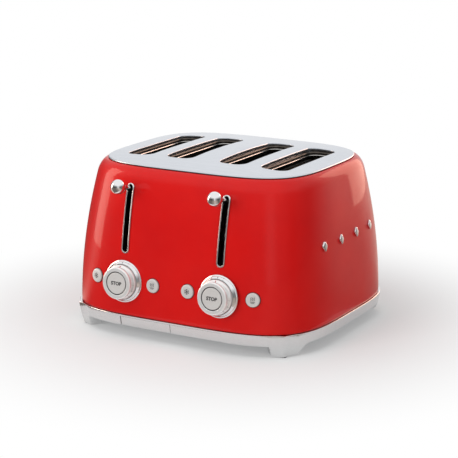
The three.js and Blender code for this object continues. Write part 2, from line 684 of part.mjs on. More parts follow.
// Bracket, slider block and the two tabs, for the pair of slots on one side.
function makeCarriage(side) {
  const front = BRACKET_Y - BRACKET_SHEET;
  const [near, far] = [SLOT_CENTRES[2] - 8, SLOT_CENTRES[3] + 8];
  const x = CONTROL_X;
  const [low, high] = SLIDER_Z;
  const tee = polygon([
    [near, RACK_Z - 9], [far, RACK_Z - 9], [far, RACK_Z + 5], [x + 27, RACK_Z + 5],
    [x + 27, RACK_Z + 12], [x + 14, RACK_Z + 20], [x + 14, high], [x - 14, high],
    [x - 14, RACK_Z + 20], [near, RACK_Z + 5],
  ]);
  const slider = box(
    [x - SLIDER_HALF_WIDTH, SLIDER_FRONT_Y, low],
    [x + SLIDER_HALF_WIDTH, ROD_Y + 7.6, high],
  );
  const tab = (offset, half, z) =>
    box([x + offset - half, ROD_Y - 13, z - TAB_SHEET], [x + offset + half, front + 0.5, z]);
  let made = union(
    alongY(tee, front, BRACKET_Y),
    slider,
    tab(MAGNET_OFFSET, 8, MAGNET_TAB_Z),
    tab(SPRING_OFFSET, 5, SPRING_TAB_Z),
  );
  made = made.subtract(bar([x, ROD_Y, 0], [x, ROD_Y, 250], ROD_RADIUS + RUN, 16));
  const mouth = SLIDER_FRONT_Y - 9;
  const socketEnd = STEM_BACK_Y + 0.4;
  made = made.subtract(
    bar([x, mouth, stemZ(mouth)], [x, socketEnd, stemZ(socketEnd)], STEM_RADIUS + GAP, 18),
  );
  return side > 0 ? made : made.mirror([1, 0, 0]);
}

// A spine with cross fingers that carries one slice.
function makeBreadRack(x) {
  const front = BRACKET_Y + GAP;
  const pieces = [box([x - 1, front, RACK_Z - RACK_BAR], [x + 1, 62, RACK_Z])];
  for (let y = -54; y <= 54; y += 18) {
    pieces.push(box([x - 9, y - 1, RACK_Z - 2], [x + 9, y + 1, RACK_Z]));
  }
  return union(...pieces);
}

function makeGuideRod(side) {
  const x = side * CONTROL_X;
  return bar([x, ROD_Y, DECK_Z + GAP], [x, ROD_Y, WELL_PLATE_Z - GAP], ROD_RADIUS);
}

const SPRING_Z = [SPRING_TAB_Z + 1, WELL_PLATE_Z - 1];

function makeReturnSpring(side) {
  const [low, high] = SPRING_Z;
  const [radius, wire, turns] = [3.6, 0.7, 8];
  class Coil extends THREE.Curve {
    getPoint(t, target = new THREE.Vector3()) {
      const angle = 2 * Math.PI * turns * t;
      return target.set(
        side * (CONTROL_X + SPRING_OFFSET) + radius * Math.cos(angle),
        ROD_Y - 5 + radius * Math.sin(angle),
        THREE.MathUtils.lerp(low, high, t),
      );
    }
  }
  const section = new THREE.Shape();
  section.absarc(0, 0, wire, 0, 2 * Math.PI);
  const geometry = new THREE.ExtrudeGeometry(section, {
    steps: turns * 7,
    bevelEnabled: false,
    curveSegments: 3,
    extrudePath: new Coil(),
  });
  return solid(geometry);
}

function makeElectromagnet(side) {
  const x = side * (CONTROL_X + MAGNET_OFFSET);
  const top = MAGNET_TAB_Z - TAB_SHEET - LEVER_STROKE - GAP;
  const base = DECK_Z + GAP;
  const y = ROD_Y - 6;
  const yoke = box([x - 9, y - 7, base], [x + 9, y + 7, base + 3]);
  const coil = bar([x, y, base + 2], [x, y, top - 3], 6.6, 16);
  return union(yoke, coil, bar([x, y, base + 2], [x, y, top], 3.2, 12));
}

// ---- Chassis, heater cards and bread guides --------------------------------------------------
function makeChassisPlate(side) {
  const near = side < 0 ? -CHASSIS_Y - CHASSIS_SHEET : CHASSIS_Y;
  const far = near + CHASSIS_SHEET;
  const half = CHASSIS_HALF_WIDTH;
  let plate = box([-half, near, DECK_Z + GAP], [half, far, WELL_PLATE_Z - GAP]);
  if (side < 0) {
    const low = RACK_Z - RACK_BAR - LEVER_STROKE - 2;
    for (const x of SLOT_CENTRES) {
      plate = plate.subtract(box([x - 2.5, near - 1, low], [x + 2.5, far + 1, RACK_Z + 2]));
    }
  }
  return plate;
}

function makeHeaterCard(x) {
  const reach = CHASSIS_Y - GAP;
  const [low, high] = CARD_Z;
  const shape = new THREE.Shape();
  const tab = 12;
  shape.moveTo(-reach + 3, low);
  shape.lineTo(reach - 3, low);
  for (const z of [low + tab, high - 2 * tab]) {
    shape.lineTo(reach - 3, z);
    shape.lineTo(reach, z);
    shape.lineTo(reach, z + tab);
    shape.lineTo(reach - 3, z + tab);
  }
  shape.lineTo(reach - 3, high);
  shape.lineTo(-reach + 3, high);
  for (const z of [high - 2 * tab, low + tab]) {
    shape.lineTo(-reach + 3, z + tab);
    shape.lineTo(-reach, z + tab);
    shape.lineTo(-reach, z);
    shape.lineTo(-reach + 3, z);
  }
  shape.closePath();
  return alongX(shape, x - CARD_SHEET / 2, x + CARD_SHEET / 2);
}

// A grid of upright wires on a pivot bar, beside one face of a slice.
function makeBreadGuide(x) {
  const [low, high] = GUIDE_Z;
  const half = SLOT_LENGTH / 2 - 4;
  const outline = roundedRectangle(0, (low + high) / 2, 2 * half, high - low, 8);
  let grid = alongX(outline, x - GUIDE_SHEET / 2, x + GUIDE_SHEET / 2);
  const windows = 7;
  const rail = 2.2;
  const pitch = (2 * half - rail) / windows;
  for (let i = 0; i < windows; i++) {
    const start = -half + rail + i * pitch;
    const inset = i === 0 || i === windows - 1 ? 5 : 0;
    const window = box(
      [x - 2, start, low + 6 + inset],
      [x + 2, start + pitch - rail, high - 3 - inset],
    );
    grid = grid.subtract(window);
  }
  const reach = CHASSIS_Y - GAP;
  return grid.add(bar([x, -reach, low + 2], [x, reach, low + 2], 1.4, 8));
}

// A plain lozenge of trim on the right-hand side.
function makeBadge(y) {
  const [w, h] = BADGE_SIZE.map((size) => size / 2);
  const cut = 0.22;
  const lozenge = polygon([
    [y - w, BADGE_Z - h * cut], [y - w * cut, BADGE_Z - h],
    [y + w * cut, BADGE_Z - h], [y + w, BADGE_Z - h * cut],
    [y + w, BADGE_Z + h * cut], [y + w * cut, BADGE_Z + h],
    [y - w * cut, BADGE_Z + h], [y - w, BADGE_Z + h * cut],
  ]);
  return alongX(lozenge, 100, 200).intersect(caseVolume(BADGE_PROUD).subtract(caseVolume(GAP)));
}

// ---- Assembly --------------------------------------------------------------------------------
const toaster = new THREE.Group();

function addPart(name, made, finish) {
  const mesh = new THREE.Mesh(geometryOf(made), finish);
  mesh.name = name;
  toaster.add(mesh);
}

const SIDES = { left: -1, right: 1 };

addPart("case_shell", makeCaseShell(), RED_ENAMEL);
addPart("top_panel", makeTopPanel(), BRUSHED_STEEL);
addPart("well_plate", makeWellPlate(), GALVANISED);
addPart("base_ring", makeBaseRing(), CHROME);
addPart("bottom_plate", makeBottomPlate(), GALVANISED);
addPart("cord_gland", makeCordGland(), RUBBER);
addPart("front_chassis_plate", makeChassisPlate(-1), GALVANISED);
addPart("rear_chassis_plate", makeChassisPlate(1), GALVANISED);

for (const [side, sx] of Object.entries(SIDES)) {
  addPart(`foot_pad_front_${side}`, makeFootPad(sx, -1), RUBBER);
  addPart(`foot_pad_rear_${side}`, makeFootPad(sx, 1), RUBBER);
  addPart(`crumb_tray_${side}`, makeCrumbTray(sx), BRUSHED_STEEL);
  addPart(`lever_trim_${side}`, makeLeverTrim(sx), CHROME);
  addPart(`lever_knob_${side}`, makeLeverKnob(sx), CHROME);
  addPart(`dial_bezel_${side}`, makeDialBezel(sx), CHROME);
  addPart(`browning_dial_${side}`, makeDial(sx), SATIN);
  addPart(`stop_button_${side}`, makeStopButton(sx), SATIN);
  addPart(`control_board_${side}`, makeControlBoard(sx), BOARD);
  addPart(`carriage_${side}`, makeCarriage(sx), GALVANISED);
  addPart(`guide_rod_${side}`, makeGuideRod(sx), SPRING_STEEL);
  addPart(`return_spring_${side}`, makeReturnSpring(sx), SPRING_STEEL);
  addPart(`electromagnet_${side}`, makeElectromagnet(sx), COPPER);
  // Of each pair, the left button, seen from the front, defrosts and the right one reheats.
  addPart(`defrost_button_${side}`, makeFunctionButton(buttonX(sx, -sx)), SATIN);
  addPart(`reheat_button_${side}`, makeFunctionButton(buttonX(sx, sx)), SATIN);
}

SLOT_CENTRES.forEach((x, i) => {
  addPart(`bread_rack_${i + 1}`, makeBreadRack(x), SPRING_STEEL);
  addPart(`bread_guide_${i + 1}_left`, makeBreadGuide(x - GUIDE_OFFSET), SPRING_STEEL);
  addPart(`bread_guide_${i + 1}_right`, makeBreadGuide(x + GUIDE_OFFSET), SPRING_STEEL);
});

const [, , innerSlot, outerSlot] = SLOT_CENTRES;
const CARDS = [innerSlot - CARD_OFFSET, (innerSlot + outerSlot) / 2, outerSlot + CARD_OFFSET];
[...CARDS.toReversed().map((x) => -x), ...CARDS].forEach((x, i) => {
  addPart(`heater_card_${i + 1}`, makeHeaterCard(x), MICA);
});

[-1.5, -0.5, 0.5, 1.5].forEach((step, i) => {
  addPart(`badge_${i + 1}`, makeBadge(step * BADGE_PITCH), CHROME);
});

// The origin moves from the casing's middle to the middle of the overall box.
toaster.position.y = -new THREE.Box3().setFromObject(toaster).getCenter(new THREE.Vector3()).y;

export default toaster;
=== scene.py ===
"""Looks of a four-slot pop-up toaster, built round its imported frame.

Sizes are in millimetres until a mesh is written, and metres after that. The front, with the
levers and dials, faces -Y. Each sub-assembly is a class: its fields are sizes, and its methods
work out the surfaces with numpy, dress them and hang them on the frame's bodies.
"""

import json
import logging
import math
from dataclasses import dataclass, field
from enum import Enum
from typing import Optional, Sequence

import bmesh
import bpy
import numpy as np
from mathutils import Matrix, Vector

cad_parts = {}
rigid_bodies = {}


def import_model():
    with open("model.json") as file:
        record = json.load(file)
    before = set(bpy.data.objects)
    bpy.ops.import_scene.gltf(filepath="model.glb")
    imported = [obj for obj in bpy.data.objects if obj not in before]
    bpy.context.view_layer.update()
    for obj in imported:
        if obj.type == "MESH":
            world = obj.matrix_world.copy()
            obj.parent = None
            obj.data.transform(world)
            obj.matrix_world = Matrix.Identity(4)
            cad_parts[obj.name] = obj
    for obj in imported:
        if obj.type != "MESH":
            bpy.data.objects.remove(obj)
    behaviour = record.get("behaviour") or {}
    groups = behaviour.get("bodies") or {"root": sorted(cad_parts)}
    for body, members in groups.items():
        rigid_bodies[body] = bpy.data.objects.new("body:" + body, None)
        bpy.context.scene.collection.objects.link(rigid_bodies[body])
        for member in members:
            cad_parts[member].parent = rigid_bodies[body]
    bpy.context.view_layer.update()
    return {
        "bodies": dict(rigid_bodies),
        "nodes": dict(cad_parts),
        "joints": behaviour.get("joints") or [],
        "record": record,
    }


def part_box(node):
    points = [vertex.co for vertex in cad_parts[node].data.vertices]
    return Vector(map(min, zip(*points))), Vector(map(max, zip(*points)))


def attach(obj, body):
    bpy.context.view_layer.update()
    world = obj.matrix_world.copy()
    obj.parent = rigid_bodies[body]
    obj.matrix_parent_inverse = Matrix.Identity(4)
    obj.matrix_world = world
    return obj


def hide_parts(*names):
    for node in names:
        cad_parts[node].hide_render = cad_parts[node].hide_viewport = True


LOG = logging.getLogger("toaster")
MM = 0.001
DIAL_Z = 68.8
BUTTON_PITCH = 41.0
STUDS = 4
CARDS = 6


def node_box(name: str) -> tuple:
    """The lowest and highest corners of one of the frame's nodes, in millimetres."""
    return tuple(np.array(corner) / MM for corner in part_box(name))


def linked(name: str, data: bpy.types.ID) -> bpy.types.Object:
    """A new object in the scene.

    Args:
        name: Its name.
        data: The mesh, curve, light or camera that it shows.

    Returns:
        The object.
    """
    made = bpy.data.objects.new(name, data)
    bpy.context.scene.collection.objects.link(made)
    return made


def signed_power(value: np.ndarray, power: np.ndarray) -> np.ndarray:
    """sign(v) |v|^p, which turns a circle's sine or cosine into a superellipse's."""
    return np.sign(value) * np.abs(value) ** power


class Side(Enum):
    """The two halves of the toaster, as signs of x."""

    LEFT = -1
    RIGHT = 1

    @property
    def word(self) -> str:
        """The side's name as the frame's nodes spell it."""
        return self.name.lower()


# ---- Node helpers ---------------------------------------------------------------------------


class Shader:
    """A thin wrapper round one material's node tree."""

    def __init__(self, name: str) -> None:
        """Starts a material with one Principled shader.

        Args:
            name: The material's name.
        """
        self.material = bpy.data.materials.new(name)
        self.material.use_nodes = True
        self.tree = self.material.node_tree
        self.main = self.tree.nodes["Principled BSDF"]
        self.output = self.tree.nodes["Material Output"]

    def node(self, kind: str, **settings) -> bpy.types.Node:
        """Adds a node.

        Args:
            kind: The node's class name without its ShaderNode prefix.
            **settings: Attributes to set on it.

        Returns:
            The new node.
        """
        made = self.tree.nodes.new("ShaderNode" + kind)
        for key, value in settings.items():
            setattr(made, key, value)
        return made

    def link(self, source: bpy.types.NodeSocket, target: bpy.types.NodeSocket) -> None:
        """Joins an output socket to an input socket."""
        self.tree.links.new(source, target)

    def principled(self, **sockets) -> None:
        """Sets sockets of the main shader, with underscores for the spaces in their names."""
        for key, value in sockets.items():
            self.main.inputs[key.replace("_", " ")].default_value = value

    def place(self, scale: Sequence[float] = (1, 1, 1)) -> bpy.types.NodeSocket:
        """Object coordinates, scaled per axis.

        Args:
            scale: The factor on x, y and z.

        Returns:
            The socket with the scaled position.
        """
        coordinates = self.node("TexCoord")
        mapping = self.node("Mapping")
        mapping.inputs["Scale"].default_value = scale
        self.link(coordinates.outputs["Object"], mapping.inputs["Vector"])
        return mapping.outputs["Vector"]

    def noise(
        self, scale: float, stretch: Sequence[float] = (1, 1, 1), detail: float = 3
    ) -> bpy.types.NodeSocket:
        """Smooth noise over the object.

        Args:
            scale: Features per metre, roughly.
            stretch: Extra factor per axis, for brushed or drawn grain.
            detail: Octaves.

        Returns:
            The socket with values round 0.5.
        """
        made = self.node("TexNoise")
        made.inputs["Scale"].default_value = scale
        made.inputs["Detail"].default_value = detail
        self.link(self.place(stretch), made.inputs["Vector"])
        return made.outputs["Fac"]

    def spread(
        self, value: bpy.types.NodeSocket, low: float, high: float
    ) -> bpy.types.NodeSocket:
        """Maps noise between 0.3 and 0.7 onto another range.

        Args:
            value: The socket to map.
            low: The result at 0.3 and below.
            high: The result at 0.7 and above.

        Returns:
            The mapped socket.
        """
        return self.mapped(value, (0.3, 0.7), (low, high))

    def mapped(
        self, value: bpy.types.NodeSocket, source: tuple, target: tuple, kind: str = "LINEAR"
    ) -> bpy.types.NodeSocket:
        """Maps one range of values onto another.

        Args:
            value: The socket to map.
            source: The range's two ends.
            target: What the ends become.
            kind: The interpolation.

        Returns:
            The mapped socket.
        """
        made = self.node("MapRange", interpolation_type=kind)
        ends = zip(("From Min", "From Max", "To Min", "To Max"), (*source, *target))
        for name, end in ends:
            made.inputs[name].default_value = end
        self.link(value, made.inputs["Value"])
        return made.outputs["Result"]

    def maths(self, operation: str, *sources: bpy.types.NodeSocket) -> bpy.types.NodeSocket:
        """The result of a Math node on one or two sockets.

        Args:
            operation: What the node works out.
            *sources: The sockets that it works on.

        Returns:
            The result's socket.
        """
        made = self.node("Math", operation=operation)
        for source, target in zip(sources, made.inputs):
            self.link(source, target)
        return made.outputs[0]

    def tint(
        self, value: bpy.types.NodeSocket, first: Sequence[float], second: Sequence[float]
    ) -> bpy.types.NodeSocket:
        """Mixes two colours by a socket.

        Args:
            value: The mixing socket.
            first: The colour at 0.3.
            second: The colour at 0.7.

        Returns:
            The colour socket.
        """
        made = self.node("ValToRGB")
        ramp = made.color_ramp.elements
        ramp[0].position, ramp[1].position = 0.3, 0.7
        ramp[0].color, ramp[1].color = (*first, 1), (*second, 1)
        self.link(value, made.inputs["Fac"])
        return made.outputs["Color"]

    def bump(self, height: bpy.types.NodeSocket, strength: float, depth_mm: float) -> None:
        """Feeds a height to the main shader's normal, on top of what is there.

        Args:
            height: The height socket.
            strength: The bump's strength.
            depth_mm: The height of a full step, in millimetres.
        """
        made = self.node("Bump")
        made.inputs["Strength"].default_value = strength
        made.inputs["Distance"].default_value = depth_mm * MM
        self.link(height, made.inputs["Height"])
        normal = self.main.inputs["Normal"]
        if normal.is_linked:
            self.link(normal.links[0].from_socket, made.inputs["Normal"])
        self.link(made.outputs["Normal"], normal)


@dataclass(frozen=True)
class Enamel:
    """Gloss stove enamel: a clear coat over a colour with a faint orange peel."""

    name: str = "red_enamel"
    colour: tuple = (0.62, 0.005, 0.004)
    deep: tuple = (0.56, 0.004, 0.004)

    def build(self) -> bpy.types.Material:
        """The finish as a material.

        Returns:
            The material.
        """
        s = Shader(self.name)
        s.principled(Specular_IOR_Level=0.1, Coat_Weight=0.35, Coat_Roughness=0.05, Coat_IOR=1.5)
        s.link(s.tint(s.noise(18), self.deep, self.colour), s.main.inputs["Base Color"])
        s.link(s.spread(s.noise(60), 0.28, 0.36), s.main.inputs["Roughness"])
        s.bump(s.noise(900, detail=2), 0.05, 0.05)
        return s.material


@dataclass(frozen=True)
class Metal:
    """A metal whose grain, roughness and tone vary."""

    name: str
    light: tuple
    dark: tuple
    smooth: float
    rough: float
    grain: float = 160
    stretch: tuple = (1, 1, 1)
    strength: float = 0.1
    depth: float = 0.05
    anisotropic: float = 0.0
    metallic: float = 1.0

    def build(self) -> bpy.types.Material:
        """The finish as a material.

        Returns:
            The material.
        """
        s = Shader(self.name)
        s.principled(Metallic=self.metallic, Anisotropic=self.anisotropic)
        grain = s.noise(self.grain, self.stretch, detail=4)
        s.link(s.tint(grain, self.dark, self.light), s.main.inputs["Base Color"])
        worn = s.noise(self.grain * 0.35, self.stretch)
        s.link(s.spread(worn, self.smooth, self.rough), s.main.inputs["Roughness"])
        s.bump(grain, self.strength, self.depth)
        return s.material


@dataclass(frozen=True)
class Plain:
    """A moulded, printed or fibrous surface, with mottled colour and fine texture."""

    name: str
    light: tuple
    dark: tuple
    roughness: float
    grain: float = 500
    strength: float = 0.2
    depth: float = 0.08
    stretch: tuple = (1, 1, 1)

    def build(self) -> bpy.types.Material:
        """The finish as a material.

        Returns:
            The material.
        """
        s = Shader(self.name)
        fine = s.noise(self.grain, self.stretch)
        s.link(s.tint(fine, self.dark, self.light), s.main.inputs["Base Color"])
        wear = s.spread(s.noise(self.grain * 0.2), self.roughness * 0.85, self.roughness)
        s.link(wear, s.main.inputs["Roughness"])
        s.bump(fine, self.strength, self.depth)
        return s.material


class Palette:
    """Every finish of the toaster, each built once when it is first asked for."""

    FINISHES = (
        Enamel(),
        Metal("brushed_top", (0.66, 0.69, 0.74), (0.60, 0.63, 0.68), 0.27, 0.33, 900,
              (0.03, 1, 1), 0.10, 0.03, 0.2),
        Metal("chrome", (0.84, 0.84, 0.85), (0.80, 0.80, 0.81), 0.05, 0.09, 60, strength=0.02),
        Metal("satin_chrome", (0.66, 0.64, 0.62), (0.62, 0.60, 0.58), 0.28, 0.36, 1400,
              strength=0.08, depth=0.02, metallic=0.2),
        Metal("wire", (0.86, 0.85, 0.83), (0.76, 0.75, 0.73), 0.12, 0.2, 300, strength=0.02),
        Metal("dial_metal", (0.88, 0.88, 0.87), (0.84, 0.84, 0.83), 0.10, 0.16, 200,
              strength=0.03, metallic=0.45),
        Metal("base_metal", (0.72, 0.72, 0.72), (0.69, 0.69, 0.69), 0.14, 0.2, 300,
              strength=0.04, depth=0.02),
        Metal("galvanised", (0.52, 0.53, 0.54), (0.34, 0.35, 0.36), 0.35, 0.5, 90, strength=0.15),
        # Near-black steel for the slot liners: painted shade for the dark inside of the slots.
        Metal("liner_steel", (0.13, 0.115, 0.10), (0.06, 0.052, 0.045), 0.25, 0.4, 200),
        Metal("spring_steel", (0.50, 0.49, 0.48), (0.36, 0.35, 0.34), 0.22, 0.35, 400),
        Metal("copper", (0.80, 0.40, 0.22), (0.62, 0.28, 0.14), 0.25, 0.4, 500, (1, 1, 4)),
        Metal("nichrome", (0.46, 0.40, 0.35), (0.30, 0.26, 0.24), 0.3, 0.45, 700),
        Plain("mica", (0.36, 0.28, 0.20), (0.24, 0.18, 0.13), 0.55, 160, stretch=(1, 0.3, 2)),
        Plain("board", (0.03, 0.15, 0.06), (0.02, 0.10, 0.04), 0.4, 260),
        Plain("rubber", (0.025, 0.025, 0.027), (0.014, 0.014, 0.015), 0.8, 1500, 0.3),
        Plain("ink", (0.03, 0.03, 0.033), (0.018, 0.018, 0.02), 0.5, 2500, 0.05),
        Plain("red_ink", (0.45, 0.02, 0.02), (0.36, 0.015, 0.015), 0.45, 2500, 0.05),
    )

    def __init__(self) -> None:
        """Indexes the finishes by name."""
        self._by_name = {finish.name: finish for finish in self.FINISHES}
        self._built: dict = {}

    def __getitem__(self, name: str) -> bpy.types.Material:
        """The material of a finish, built on first use.

        Args:
            name: The finish's name.

        Returns:
            The material.
        """
        if name not in self._built:
            self._built[name] = self._by_name[name].build()
        return self._built[name]


# ---- Surfaces -------------------------------------------------------------------------------


def grid_faces(rows: int, cols: int, wrap_rows: bool = False, wrap_cols: bool = False) -> np.ndarray:
    """Quads of a grid whose vertices are numbered row by row.

    Args:
        rows: Rows of vertices.
        cols: Columns of vertices.
        wrap_rows: Whether the last row joins the first.
        wrap_cols: Whether the last column joins the first.

    Returns:
        An array of shape (rows of quads, columns of quads, 4).
    """
    i = np.arange(rows if wrap_rows else rows - 1)[:, None]
    j = np.arange(cols if wrap_cols else cols - 1)[None, :]
    below, right = (i + 1) % rows, (j + 1) % cols
    corners = (i * cols + j, i * cols + right, below * cols + right, below * cols + j)
    return np.stack(np.broadcast_arrays(*corners), axis=-1)


@dataclass
class Surface:
    """Vertices in millimetres, with quads and end caps."""

    points: np.ndarray
    quads: np.ndarray
    caps: list = field(default_factory=list)

    @staticmethod
    def grid(
        points: np.ndarray, wrap_rows: bool = False, wrap_cols: bool = False, capped: bool = False
    ) -> "Surface":
        """A surface through a grid of points.

        Args:
            points: Array of shape (rows, columns, 3).
            wrap_rows: Whether the last row joins the first.
            wrap_cols: Whether the last column joins the first.
            capped: Whether the first and last rows, which are closed loops, get flat ends.

        Returns:
            The surface.
        """
        rows, cols = points.shape[:2]
        quads = grid_faces(rows, cols, wrap_rows, wrap_cols).reshape(-1, 4)
        caps = []
        if capped:
            first = np.arange(cols)
            caps = [first[::-1].tolist(), (first + (rows - 1) * cols).tolist()]
        return Surface(points.reshape(-1, 3), quads, caps)

    def joined(self, *others: "Surface") -> "Surface":
        """One surface of several shells.

        Args:
            *others: The shells to add.

        Returns:
            The joined surface.
        """
        points, quads, caps = [self.points], [self.quads], list(self.caps)
        start = len(self.points)
        for other in others:
            points.append(other.points)
            quads.append(other.quads + start)
            caps += [[index + start for index in cap] for cap in other.caps]
            start += len(other.points)
        return Surface(np.concatenate(points), np.concatenate(quads), caps)


@dataclass(frozen=True)
class Frame:
    """A local frame: where it stands and its right, up and outward directions."""

    origin: np.ndarray
    axes: np.ndarray

    def world(self, local: np.ndarray) -> np.ndarray:
        """Local points, as (..., 3), in the toaster's coordinates."""
        return self.origin + local @ self.axes

    def shifted(self, right: float, up: float, out: float = 0.0) -> "Frame":
        """The same frame moved along its own directions."""
        return Frame(self.world(np.array([right, up, out], float)), self.axes)

    def spun(self, angle: float) -> "Frame":
        """The same frame turned about its outward direction, anticlockwise.

        Args:
            angle: The turn, in radians.

        Returns:
            The turned frame.
        """
        c, s = math.cos(angle), math.sin(angle)
        turn = np.array([[c, s, 0], [-s, c, 0], [0, 0, 1]])
        return Frame(self.origin, turn @ self.axes)


def rounded(
    points: Sequence[Sequence[float]], radius: float, steps: int = 4, closed: bool = False
) -> np.ndarray:
    """Rounds the corners of a polyline with parabolic arcs.

    At each corner the arc starts and ends at most radius from it, and at most 0.48 of the
    side's length, and runs as (1-t)^2 start + 2t(1-t) corner + t^2 end.

    Args:
        points: The polyline's corners in two dimensions.
        radius: How far from a corner its arc may start.
        steps: Points on each arc, less one.
        closed: Whether the polyline closes on itself.

    Returns:
        The rounded polyline.
    """
    p = np.asarray(points, float)
    before, after = np.roll(p, 1, axis=0), np.roll(p, -1, axis=0)
    t = np.linspace(0, 1, steps + 1)[None, :, None]
    ends = []
    for other in (before, after):
        span = other - p
        length = np.linalg.norm(span, axis=1, keepdims=True)
        ends.append(p + span / np.maximum(length, 1e-9) * np.minimum(radius, 0.48 * length))
    arc = (1 - t) ** 2 * ends[0][:, None] + 2 * t * (1 - t) * p[:, None] + t**2 * ends[1][:, None]
    if closed:
        return arc.reshape(-1, 2)
    return np.concatenate([p[:1], arc[1:-1].reshape(-1, 2), p[-1:]])


def turned(profile: np.ndarray, frame: Frame, segments: int = 96, closed: bool = False) -> Surface:
    """A profile turned about a frame's outward axis: (r cos a, r sin a, h).

    Args:
        profile: Points of (radius, height). An open one starts and ends on the axis.
        frame: The frame it is turned in.
        segments: Points round the axis.
        closed: Whether the profile closes on itself away from the axis.

    Returns:
        The surface. A point on the axis becomes a small flat cap.
    """
    angle = np.linspace(0, 2 * math.pi, segments, endpoint=False)
    radius = np.maximum(profile[:, 0], 0.02)[:, None]
    height = np.broadcast_to(profile[:, 1][:, None], (len(profile), segments))
    local = np.stack([radius * np.cos(angle), radius * np.sin(angle), height], axis=-1)
    return Surface.grid(frame.world(local), wrap_rows=closed, wrap_cols=True, capped=not closed)


def strip(path: np.ndarray, half_width: float, low: float, high: float, frame: Frame) -> Surface:
    """A flat strip along a path on a frame, made of rectangular sections.

    Each section's corners are the path's point plus or minus half the width along the
    direction at right angles to the path, at the low and the high level.

    Args:
        path: Points of (right, up).
        half_width: Half of the strip's width.
        low: The level of its underside.
        high: The level of its top.
        frame: Where the path lies.

    Returns:
        The closed surface.
    """
    p = np.asarray(path, float)
    along = np.gradient(p, axis=0)
    along /= np.linalg.norm(along, axis=1, keepdims=True)
    across = np.stack([-along[:, 1], along[:, 0]], axis=1) * half_width
    level = np.ones(len(p))
    sections = np.stack(
        [
            np.column_stack([p + across, level * low]),
            np.column_stack([p + across, level * high]),
            np.column_stack([p - across, level * high]),
            np.column_stack([p - across, level * low]),
        ],
        axis=1,
    )
    return Surface.grid(frame.world(sections), wrap_cols=True, capped=True)


def lettering(text: str, height: float, thickness: float, frame: Frame, weight: float = 0.0) -> Surface:
    """Raised characters, centred on a frame.

    Args:
        text: The characters.
        height: The font's size.
        thickness: How far they stand up.
        frame: Where they stand.
        weight: How much bolder they are, as a share of the height.

    Returns:
        The characters as one surface.
    """
    curve = bpy.data.curves.new("lettering", "FONT")
    curve.body = text
    curve.size = height
    curve.extrude = thickness / 2
    curve.offset = weight * height
    curve.align_x, curve.align_y = "CENTER", "CENTER"
    curve.resolution_u = 4
    holder = linked("lettering", curve)
    bpy.context.view_layer.update()
    mesh = holder.evaluated_get(bpy.context.evaluated_depsgraph_get()).to_mesh()
    local = np.empty(len(mesh.vertices) * 3, np.float32)
    mesh.vertices.foreach_get("co", local)
    faces = [list(polygon.vertices) for polygon in mesh.polygons]
    bpy.data.objects.remove(holder)
    bpy.data.curves.remove(curve)
    points = frame.world(local.reshape(-1, 3).astype(float))
    return Surface(points, np.empty((0, 4), int), faces)


def settle(mesh: bpy.types.Mesh) -> None:
    """Merges doubled vertices and points the faces outwards.

    Args:
        mesh: The mesh to put right.
    """
    work = bmesh.new()
    work.from_mesh(mesh)
    bmesh.ops.remove_doubles(work, verts=work.verts, dist=0.002 * MM)
    bmesh.ops.recalc_face_normals(work, faces=work.faces)
    work.to_mesh(mesh)
    work.free()


class Workshop:
    """Turns surfaces into pieces that ride on the frame's bodies."""

    def __init__(self, palette: Palette) -> None:
        """Keeps the palette that pieces are dressed from.

        Args:
            palette: The finishes.
        """
        self.palette = palette
        self.count = 0

    def piece(
        self,
        name: str,
        surface: Surface,
        finish: str,
        body: str,
        slot: str,
        replaces: Sequence[str] = (),
        sharp: float = 35.0,
        wall: Optional[float] = None,
    ) -> bpy.types.Object:
        """Makes a piece from a surface and logs it.

        Args:
            name: The piece's name.
            surface: Its vertices and faces, in millimetres.
            finish: The name of its finish.
            body: The body that it rides on.
            slot: The record's material slot that it stands for; not used.
            replaces: The frame's nodes that it stands in for.
            sharp: Edges that turn by more than this many degrees stay sharp.
            wall: Thickness given inwards to an open surface, in millimetres.

        Returns:
            The piece's object.
        """
        mesh = bpy.data.meshes.new(name)
        faces = surface.quads.tolist() + surface.caps
        mesh.from_pydata((surface.points * MM).tolist(), [], faces)
        mesh.materials.append(self.palette[finish])
        settle(mesh)
        mesh.shade_smooth()
        mesh.set_sharp_from_angle(angle=math.radians(sharp))
        made = linked(name, mesh)
        if wall is not None:
            solidify = made.modifiers.new("wall", "SOLIDIFY")
            solidify.thickness = wall * MM
            solidify.offset = -1
        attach(made, body)
        if replaces:
            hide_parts(*replaces)
        self.count += 1
        LOG.info("%s: %d vertices, %s, on %s", name, len(surface.points), finish, body)
        return made

    def dress(self, node: bpy.types.Object, finish: str) -> None:
        """Gives one of the frame's own nodes a finish.

        Args:
            node: The node's object.
            finish: The finish's name.
        """
        material = self.palette[finish]
        node.data.materials.clear()
        node.data.materials.append(material)


def box_surface(low: Sequence[float], high: Sequence[float]) -> Surface:
    """A box between two corners.

    Args:
        low: The lowest corner.
        high: The highest corner.

    Returns:
        The closed surface.
    """
    corners = np.array([[x, y, z] for z in (low[2], high[2]) for x, y in
                        ((low[0], low[1]), (high[0], low[1]), (high[0], high[1]), (low[0], high[1]))])
    return Surface.grid(corners.reshape(2, 4, 3), wrap_cols=True, capped=True)


def cut_away(piece: bpy.types.Object, tools: Sequence[Surface]) -> None:
    """Cuts closed surfaces out of a piece and applies the cuts to its mesh.

    Args:
        piece: The piece to cut.
        tools: The surfaces that are taken away.
    """
    for tool in tools:
        mesh = bpy.data.meshes.new("tool")
        mesh.from_pydata((tool.points * MM).tolist(), [], tool.quads.tolist() + tool.caps)
        settle(mesh)
        cutter = linked("tool", mesh)
        cut = piece.modifiers.new("cut", "BOOLEAN")
        cut.operation, cut.solver, cut.object = "DIFFERENCE", "EXACT", cutter
        bpy.context.view_layer.update()
        result = bpy.data.meshes.new_from_object(
            piece.evaluated_get(bpy.context.evaluated_depsgraph_get())
        )
        piece.modifiers.remove(cut)
        piece.data = result
        bpy.data.objects.remove(cutter)


